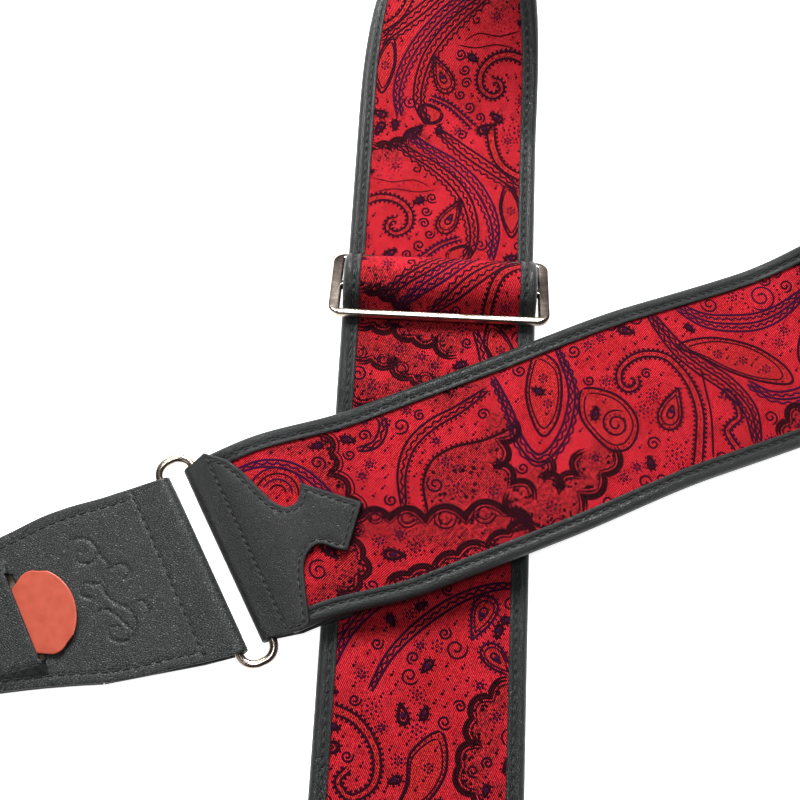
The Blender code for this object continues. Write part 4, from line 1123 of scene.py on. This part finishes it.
def tube_point(x, leg_v, off, ease=9.0):
    """Leather round a bar: distance from the bar's axis and height, off the leather's mid-line by off."""
    side = np.where(x >= 0, 1.0, -1.0)
    a = np.abs(x)
    ang = np.minimum(a, TUBE_HALF) / TUBE_R
    d = a - TUBE_HALF
    on_tube = a <= TUBE_HALF
    reach = np.where(on_tube, -(TUBE_R + off) * np.cos(ang), d)
    v = np.where(on_tube, side * (TUBE_R + off) * np.sin(ang),
                 side * (TUBE_R + (leg_v - TUBE_R) * smooth(0.0, ease, d)) + side * off)
    return reach, v


def groove(e, at, depth=0.26, width=0.42):
    return -depth * np.exp(-((e - at) / width) ** 2)


TUBE_STEPS = np.linspace(-TUBE_HALF, TUBE_HALF, 21)

# wrap that joins the band to the front ring; its upper leg ends in an ornamental patch
UPPER = [(5.5, 30.4), (7.4, 28.5), (10.4, 25.5), (12.9, 20.0), (14.9, 13.5), (16.9, 7.8), (19.4, 5.0),
         (22.4, 5.3), (24.6, 7.6), (25.9, 11.0)]
NECK = [(31.9, -12.5), (28.9, -11.2), (25.4, -8.9), (22.4, -9.0), (19.4, -11.1), (17.4, -14.2), (15.9, -18.8),
        (14.0, -25.0), (13.0, -28.2)]
patch = [tuple(p) for p in through(UPPER, 1.5)] + [(40.9, 0.8)] + [tuple(p) for p in through(NECK, 1.5)]
patch += [(12.4, -29.6), (11.4, -WRAP_HALF), (9.0, -WRAP_HALF)]
wrap_cut = [(TUBE_HALF + d, u) for d, u in patch]
wrap_cut += [(TUBE_HALF, -WRAP_BAR_HALF), (-TUBE_HALF, -WRAP_BAR_HALF), (-TUBE_HALF - 8.0, -WRAP_HALF),
             (-TUBE_HALF - 26.0, -WRAP_HALF), (-TUBE_HALF - 27.0, -29.4), (-TUBE_HALF - 27.0, 29.4),
             (-TUBE_HALF - 26.0, WRAP_HALF), (-TUBE_HALF - 8.0, WRAP_HALF), (-TUBE_HALF, WRAP_BAR_HALF),
             (TUBE_HALF, WRAP_BAR_HALF)]
CROSS_SEAM = 5.6             # seam across the wrap, from the ring bar


def wrap_place(x, y, w):
    x, y = np.asarray(x, float), np.asarray(y, float)
    d, v = tube_point(x, WRAP_V, w)
    return MAIN.at(S_RING + np.maximum(d, 0.0), y, v, np.minimum(d, 0.0))


def wrap_relief(x, y, e):
    on_patch = smooth(TUBE_HALF + CROSS_SEAM, TUBE_HALF + CROSS_SEAM + 1.5, x)
    seam = groove(x - TUBE_HALF, CROSS_SEAM) * (np.abs(y) < 29.2)
    rim = groove(e, 1.6) * on_patch
    puff = 0.16 * smooth(2.0, 5.0, e) * smooth(CROSS_SEAM, CROSS_SEAM + 4, x - TUBE_HALF)
    return np.where(x > 0, seam + rim + puff, groove(e, 1.6))


wrap_x = np.concatenate([np.arange(-TUBE_HALF - 26, -TUBE_HALF, 1.4), TUBE_STEPS,
                         TUBE_HALF + np.array([0.7, 1.5, 2.5, 3.4, 4.2, 4.7, 5.0, 5.3, 5.6, 5.9, 6.2, 6.7]),
                         TUBE_HALF + np.arange(7.8, 42, 1.3)])
leather("front_wrap_leather", wrap_cut, [], wrap_place, wrap_relief, (wrap_x, np.arange(-30, 30.1, 1.3)),
        rims=(0.16, 0.45, 0.95, 1.35, 1.6, 1.9, 2.6, 3.4), body="strap", nodes=["front_wrap"], slot="leather")


def crosswise(x, half):
    return np.stack([np.full(60, x), np.linspace(-half, half, 60)], -1)


def seam_run(place, line, w):
    p = place(line[:, 0], line[:, 1], np.full(len(line), w))
    return p, place(line[:, 0], line[:, 1], np.full(len(line), w + 1.0)) - p


def inset(loop, d):
    """The closed line d inside a loop, wherever it stays that far from every edge."""
    p = dense(loop, 0.6)
    q = p + normals(p) * d * (1 if signed_area(p) > 0 else -1)
    return q[distance(q, p) > d * 0.97]


rim = inset(wrap_cut, 1.6)
rim = rim[rim[:, 0] > TUBE_HALF + CROSS_SEAM]
start = int(np.argmin(np.hypot(rim[:, 0] - TUBE_HALF - CROSS_SEAM, rim[:, 1] - 28.8)))
rim = np.roll(rim, -start, axis=0)
back_rim = np.array([(-TUBE_HALF - 8.5, 28.8), (-TUBE_HALF - 25.2, 28.8), (-TUBE_HALF - 25.2, -28.8),
                     (-TUBE_HALF - 8.5, -28.8)])
back_rim = dense(back_rim, 0.8)[:int(75 / 0.8)]      # its fourth side stays open
sew("front_wrap_stitching",
    [seam_run(wrap_place, line, LEA_T / 2 + w)
     for line, w in ((rim, -0.12), (crosswise(TUBE_HALF + CROSS_SEAM, 28.6), -0.12),
                     (crosswise(-TUBE_HALF - CROSS_SEAM, 28.6), 0.1), (back_rim, -0.12))],
    pitch=2.4, length=1.75, r=0.27, body="strap", slot="leather")


# leather ends
def tongue(inset_by=0.0, start=0.0):
    """Outline of a leather end from its straight edge to the round tip and back."""
    line = through(HALF_WIDTHS, 3.0)
    first = (start, float(np.interp(start, line[:, 0], line[:, 1])) - inset_by)
    up = [first] + [(t, h - inset_by) for t, h in line if t > start + 0.5]
    tip_at, tip_r = HALF_WIDTHS[-1]
    return up[:-1] + arc(tip_at, 0.0, tip_r - inset_by, 90, -90, 31) + [(t, -h) for t, h in up[-2::-1]]


def hole_at(t0):
    """Button hole with its slit."""
    a = degrees(asin(KEY_HALF / HOLE_R))
    end = t0 + HOLE_T + HOLE_R + KEY_LEN
    return arc(t0 + HOLE_T, 0.0, HOLE_R, a, 360 - a, 33) + [(end, -KEY_HALF), (end, KEY_HALF)]


def pocket_bump(t, u):
    lift = POCKET_LIFT - (t - POCKET_T) * sin(PICK_TILT)
    fall = 1.0 - smooth(POCKET_T + 21.5, POCKET_T + 30.0, t)
    side = 1.0 - smooth(POCKET_HALF + 0.2, POCKET_HALF + 5.5, np.abs(u - POCKET_C))
    return lift * fall * side * smooth(POCKET_T + 0.1, POCKET_T + 0.7, t)


# generic scroll pressed into the leather
SCROLL = [through(points, 0.5) for points in (
    [(33.5, 15.0), (30.0, 17.5), (26.0, 16.0), (24.8, 12.0), (27.5, 9.0), (31.0, 10.2), (30.6, 13.2), (28.6, 13.0)],
    [(25.0, 12.2), (23.8, 6.5), (27.6, 1.5), (26.4, -4.0), (22.8, -8.0), (23.4, -13.5), (27.0, -16.6),
     (31.0, -14.8), (30.4, -11.4), (27.8, -11.8)],
    [(27.6, 1.5), (32.0, 3.4), (34.0, 0.4), (31.6, -1.6)],
    [(24.0, 5.6), (20.0, 6.4), (18.4, 3.2), (20.8, 1.6)],
    [(23.2, -7.4), (19.2, -6.0), (17.8, -9.2), (20.0, -10.8)],
    [(24.6, -13.6), (28.6, -6.2), (33.2, -6.6)])]
SCROLL_DEPTH, SCROLL_WIDTH = 0.45, 0.42
EDGE_SEAM, END_SEAM, SEAM_HALF = 3.2, 9.0, 26.8
END_RIMS = (0.16, 0.45, 0.95, 1.7, 2.6, 3.0, 3.3, 3.6, 4.3)      # rows of points in from the edge


def to_scroll(pts):
    return np.min([distance(pts, line, False) for line in SCROLL], axis=0)


def leather_end(prefix, bar, along, pitch, skew, pocket):
    """Upper leather round the ring, stiffener, backing and seams of one end of the strap."""
    along = unit(np.array([along[0], along[1], 0.0]))
    left = np.array([along[1], -along[0], 0.0])
    out = along * cos(radians(pitch)) - np.array([0, 0, sin(radians(pitch))])
    up = np.cross(out, left)
    up = up if up[2] > 0 else -up
    leg_v = CORE_T / 2 + 0.3 + LEA_T / 2

    def spot(t, u, w):
        t, u, w = np.broadcast_arrays(*(np.asarray(a, float) for a in (t, u, w)))
        return metres(np.asarray(bar) + t[..., None] * out + (u + skew * np.maximum(t, 0.0))[..., None] * left
                      + w[..., None] * up)

    def place(x, y, w):
        x, y = np.asarray(x, float), np.asarray(y, float)
        d, v = tube_point(x, leg_v, w)
        bump = np.where(x > 0, pocket_bump(d, y), 0.0) if pocket else 0.0
        return spot(d, y, v + bump)

    def relief(x, y, e):
        t = np.abs(x) - TUBE_HALF
        lift = groove(e, EDGE_SEAM) * smooth(END_SEAM - 0.5, END_SEAM, t)
        lift = lift + groove(t, END_SEAM) * (np.abs(y) < 27.6)
        lift = lift + 0.10 * np.exp(-((e - 1.7) / 0.9) ** 2) * smooth(END_SEAM, END_SEAM + 3, t)
        if pocket:
            pts = np.stack([x - TUBE_HALF, y], -1)
            near = (pts[:, 0] > 15) & (pts[:, 0] < 37) & (np.abs(y) < 20) & (x > 0)
            press = np.zeros(len(x))
            press[near] = -SCROLL_DEPTH * np.exp(-(to_scroll(pts[near]) / SCROLL_WIDTH) ** 2)
            lift = lift + press
        return lift

    body = [(TUBE_HALF + t, u) for t, u in tongue()]
    outline = body + [(-TUBE_HALF - 10, -END_HALF), (-TUBE_HALF - BACK_LEG, -26.6), (-TUBE_HALF - BACK_LEG, 26.6),
                      (-TUBE_HALF - 10, END_HALF)]
    holes = [hole_at(TUBE_HALF)]
    xs = np.concatenate([np.arange(-TUBE_HALF - BACK_LEG + 1, -TUBE_HALF - 10.4, 1.8),
                         -TUBE_HALF - np.array([9.6, 9.3, 9.0, 8.7, 8.4, 7.2, 5.6, 4, 2.4, 1]), TUBE_STEPS,
                         TUBE_HALF + np.array([0.8, 1.7, 2.8, 4, 5.4, 6.8, 7.8, 8.3, 8.65, 9.0, 9.35, 9.7, 10.4]),
                         TUBE_HALF + np.arange(11.6, 134, 1.6)])
    extra = None
    if pocket:
        t0, t1 = TUBE_HALF + POCKET_T, TUBE_HALF + POCKET_T + 1.2
        holes.append([(t0, POCKET_C - POCKET_HALF), (t1, POCKET_C - POCKET_HALF),
                      (t1, POCKET_C + POCKET_HALF), (t0, POCKET_C + POCKET_HALF)])
        fx, fy = np.meshgrid(np.arange(17, 35.5, 0.5), np.arange(-18, 19, 0.5))
        near = to_scroll(np.stack([fx.ravel(), fy.ravel()], -1)) < 1.5
        extra = np.stack([TUBE_HALF + fx.ravel()[near], fy.ravel()[near]], -1)
        gx, gy = np.meshgrid(np.arange(POCKET_T - 0.4, POCKET_T + 1.8, 0.3), np.arange(-22, 24, 0.9))
        extra = np.vstack([extra, np.stack([TUBE_HALF + gx.ravel(), gy.ravel()], -1)])
    leather(prefix + "_top_leather", outline, holes, place, relief, (xs, np.arange(-34, 34.5, 1.6)), extra,
            rims=END_RIMS, mat=GRAINED, body=prefix, nodes=[prefix + "_top"], slot="leather")
    start = BACK_LEG + 0.4
    under = lambda x, y, w: spot(x, y, -leg_v - np.asarray(w, float))
    leather(prefix + "_backing_leather", tongue(0.0, start), [hole_at(0.0)], under,
            lambda x, y, e: groove(e, EDGE_SEAM), (np.arange(39, 133, 1.8), np.arange(-33, 33.5, 1.8)),
            rims=END_RIMS, body=prefix, nodes=[prefix + "_backing"], slot="leather")
    leather(prefix + "_stiffener_board", tongue(3.0, 13.0), [hole_at(0.0)], lambda x, y, w: spot(x, y, w), None,
            (np.arange(14, 130, 4.0), np.arange(-30, 31, 4.0)), thick=CORE_T, edge_r=0.2, rims=(0.3,), mat=BOARD,
            body=prefix, nodes=[prefix + "_stiffener"], slot="stiffener")
    # seams
    line = inset(body, EDGE_SEAM)
    line = line[line[:, 0] > TUBE_HALF + END_SEAM + 1]
    line = np.roll(line, -int(np.argmax(np.linalg.norm(np.diff(line, axis=0, append=line[:1]), axis=1)) + 1), axis=0)
    thread_w = LEA_T / 2 - 0.14
    below = line - [TUBE_HALF, 0]
    below = below[below[:, 0] > start + EDGE_SEAM]
    rows = [seam_run(place, line, thread_w), seam_run(place, crosswise(TUBE_HALF + END_SEAM, SEAM_HALF), thread_w),
            seam_run(under, below, thread_w), seam_run(place, crosswise(-TUBE_HALF - END_SEAM, SEAM_HALF), thread_w)]
    if pocket:
        for side in (1, -1):
            ease = through([(POCKET_T + 1.0, POCKET_HALF + 1.6), (POCKET_T + 12, POCKET_HALF + 1.4),
                            (POCKET_T + 24, POCKET_HALF - 1.0), (POCKET_T + 31, POCKET_HALF - 6.0)], 0.8)
            pts = np.stack([TUBE_HALF + ease[:, 0], POCKET_C + side * ease[:, 1]], -1)
            rows.append(seam_run(place, pts, LEA_T / 2 + 0.05))
    sew(prefix + "_stitching", rows, pitch=3.1, length=2.35, r=0.29, body=prefix, slot="leather")
    return spot, leg_v


BAR_A = MAIN.pick(MAIN.pos, np.array([S_RING]))[0]
dir_end = unit(MAIN.pick(MAIN.along, np.array([S_RING]))[0] * [1, 1, 0])
left_end = np.array([-dir_end[1], dir_end[0], 0.0])
BAR_B = BAR_A - dir_end * RING_PITCH
REAR_BAR = np.array([CROSS[0], REAR_Y, REST_Z + RING_ROD / 2 + 0.4 + BAND_T / 2])
REAR_BAR_B = REAR_BAR - [0.0, RING_PITCH, 0.0]
end_spot, leg_v = leather_end("front_end", BAR_B, -dir_end, 3.0, FRONT_SKEW, True)
leather_end("rear_end", REAR_BAR_B, (0.0, -1.0), 1.5, 0.0, False)


# ------------------------------------------------------------ rings
def ring(name, centre, along, left, length, body):
    """Rectangular ring of round rod."""
    up = np.cross(along, left)
    hx, hy, r = RING_PITCH / 2, length / 2, RING_CORNER
    path = []
    for sx, sy, a0 in ((1, 1, 0), (-1, 1, 90), (-1, -1, 180), (1, -1, 270)):
        for a in np.radians(np.linspace(a0, a0 + 90, 13)):
            path.append((sx * (hx - r) + r * cos(a), sy * (hy - r) + r * sin(a), a))
    verts, faces, sides = [], [], 20
    for x, y, a in path:
        out = along * cos(a) + left * sin(a)
        base = centre + along * x + left * y
        for k in range(sides):
            c = 2 * pi * k / sides
            verts.append(metres(base + (out * cos(c) + up * sin(c)) * RING_ROD / 2))
    n = len(path)
    for i in range(n):
        for k in range(sides):
            m = (k + 1) % sides
            faces.append((i * sides + k, ((i + 1) % n) * sides + k, ((i + 1) % n) * sides + m, i * sides + m))
    piece(name + "_rod", verts, faces, NICKEL, body=body, nodes=[name], slot="nickel", sharp=70)


ring("front_ring", (BAR_A + BAR_B) / 2, dir_end, left_end, FRONT_RING_LEN, "front_ring")
ring("rear_ring", (REAR_BAR + REAR_BAR_B) / 2, np.array([0.0, 1.0, 0.0]), np.array([-1.0, 0.0, 0.0]),
     REAR_RING_LEN, "rear_ring")


# ------------------------------------------------------------ slider
def round_rect(x0, x1, y0, y1, r, n=8):
    pts = []
    for cx, cy, a0 in ((x1 - r, y1 - r, 0), (x0 + r, y1 - r, 90), (x0 + r, y0 + r, 180), (x1 - r, y0 + r, 270)):
        pts += arc(cx, cy, r, a0, a0 + 90, n)
    return pts


def slider():
    """Frame with two outer bars and a centre bar, its edges rounded by soft."""
    soft, weld = 0.75, 5e-6
    curve = bpy.data.curves.new("slider_curve", "CURVE")
    curve.dimensions, curve.fill_mode = "2D", "BOTH"
    curve.extrude, curve.bevel_depth, curve.bevel_resolution = BAR_R - soft, soft, 4
    half, deep = SLIDER_IN / 2 + SLIDER_ARM, BAR_PITCH + BAR_R
    loops = [round_rect(-half + soft, half - soft, -deep + soft, deep - soft, 3.2)]
    for a, b in ((-BAR_PITCH + BAR_R, -BAR_R), (BAR_R, BAR_PITCH - BAR_R)):
        loops.append(round_rect(-SLIDER_IN / 2 - soft, SLIDER_IN / 2 + soft, a - soft, b + soft, 1.3, 6))
    for pts in loops:
        spline = curve.splines.new("POLY")
        spline.points.add(len(pts) - 1)
        for p, (x, y) in zip(spline.points, pts):
            p.co = (x, y, 0.0, 1.0)
        spline.use_cyclic_u = True
    ob = bpy.data.objects.new("slider_curve", curve)
    scene.collection.objects.link(ob)
    bpy.context.view_layer.update()
    mesh = bpy.data.meshes.new_from_object(ob)
    bpy.data.objects.remove(ob, do_unlink=True)
    co = np.array([tuple(v.co) for v in mesh.vertices])
    y, z = co[:, 1] * cos(TILT) + co[:, 2] * sin(TILT), -co[:, 1] * sin(TILT) + co[:, 2] * cos(TILT)
    place = metres(np.stack([co[:, 0] + CROSS[0], y + CENTRE_Y, z + CENTRE_Z], -1))
    keys, index, verts = {}, [], []
    for p in place:                                   # weld the curve's separate strips
        k = tuple(np.round(p / weld).astype(int))
        if k not in keys:
            keys[k] = len(verts)
            verts.append(p)
        index.append(keys[k])
    faces = []
    for f in mesh.polygons:
        loop = []
        for v in f.vertices:
            if index[v] not in loop:
                loop.append(index[v])
        if len(loop) > 2:
            faces.append(tuple(loop))
    piece("slider_casting", verts, faces, NICKEL, body="slider", nodes=["slider_frame"], slot="nickel", sharp=35)


slider()


# ------------------------------------------------------------ pick
def pick():
    outline = (arc(PICK_L - 15.5, 0.0, 15.5, 42, -42, 17) + arc(PICK_L - 10.0, -8.2, 4.8, -48, -110, 8)
               + arc(3.4, 0.0, 3.4, 233, 127, 9) + arc(PICK_L - 10.0, 8.2, 4.8, 110, 48, 8))
    hidden = PICK_L - PICK_OUT

    def place(x, y, w):
        d = np.asarray(x, float) - hidden
        t = POCKET_T - d * cos(PICK_TILT)
        height = leg_v + LEA_T / 2 + 0.25 + PICK_T / 2 + d * sin(PICK_TILT) + 0.12 + w
        return end_spot(t, np.asarray(y) + PICK_C + FRONT_SKEW * (POCKET_T - t), height)

    leather("pick_plectrum", outline, [], place, None, (np.arange(0, 31, 1.5), np.arange(-14, 14.5, 1.5)), thick=PICK_T,
            edge_r=0.3, rims=(0.1, 0.25, 0.6, 1.2), mat=CORAL, body="pick", nodes=["pick"], slot="pick")


pick()


# ------------------------------------------------------------ floor
def floor():
    look = Look("studio_floor", 0.9, Emission_Color=(1.0, 1.0, 1.0, 1.0), Emission_Strength=0.85)
    place = look.add("TexCoord").outputs["Object"]
    look.colour(look.mix(look.noise(place, 3.0, 2.0), (0.90, 0.90, 0.90), (0.93, 0.93, 0.93)))
    mesh = bpy.data.meshes.new("floor")
    mesh.from_pydata([(-3, -3, 0), (3, -3, 0), (3, 3, 0), (-3, 3, 0)], [], [(0, 1, 2, 3)])
    mesh.materials.append(look.mat)
    ob = bpy.data.objects.new("floor", mesh)
    scene.collection.objects.link(ob)


floor()
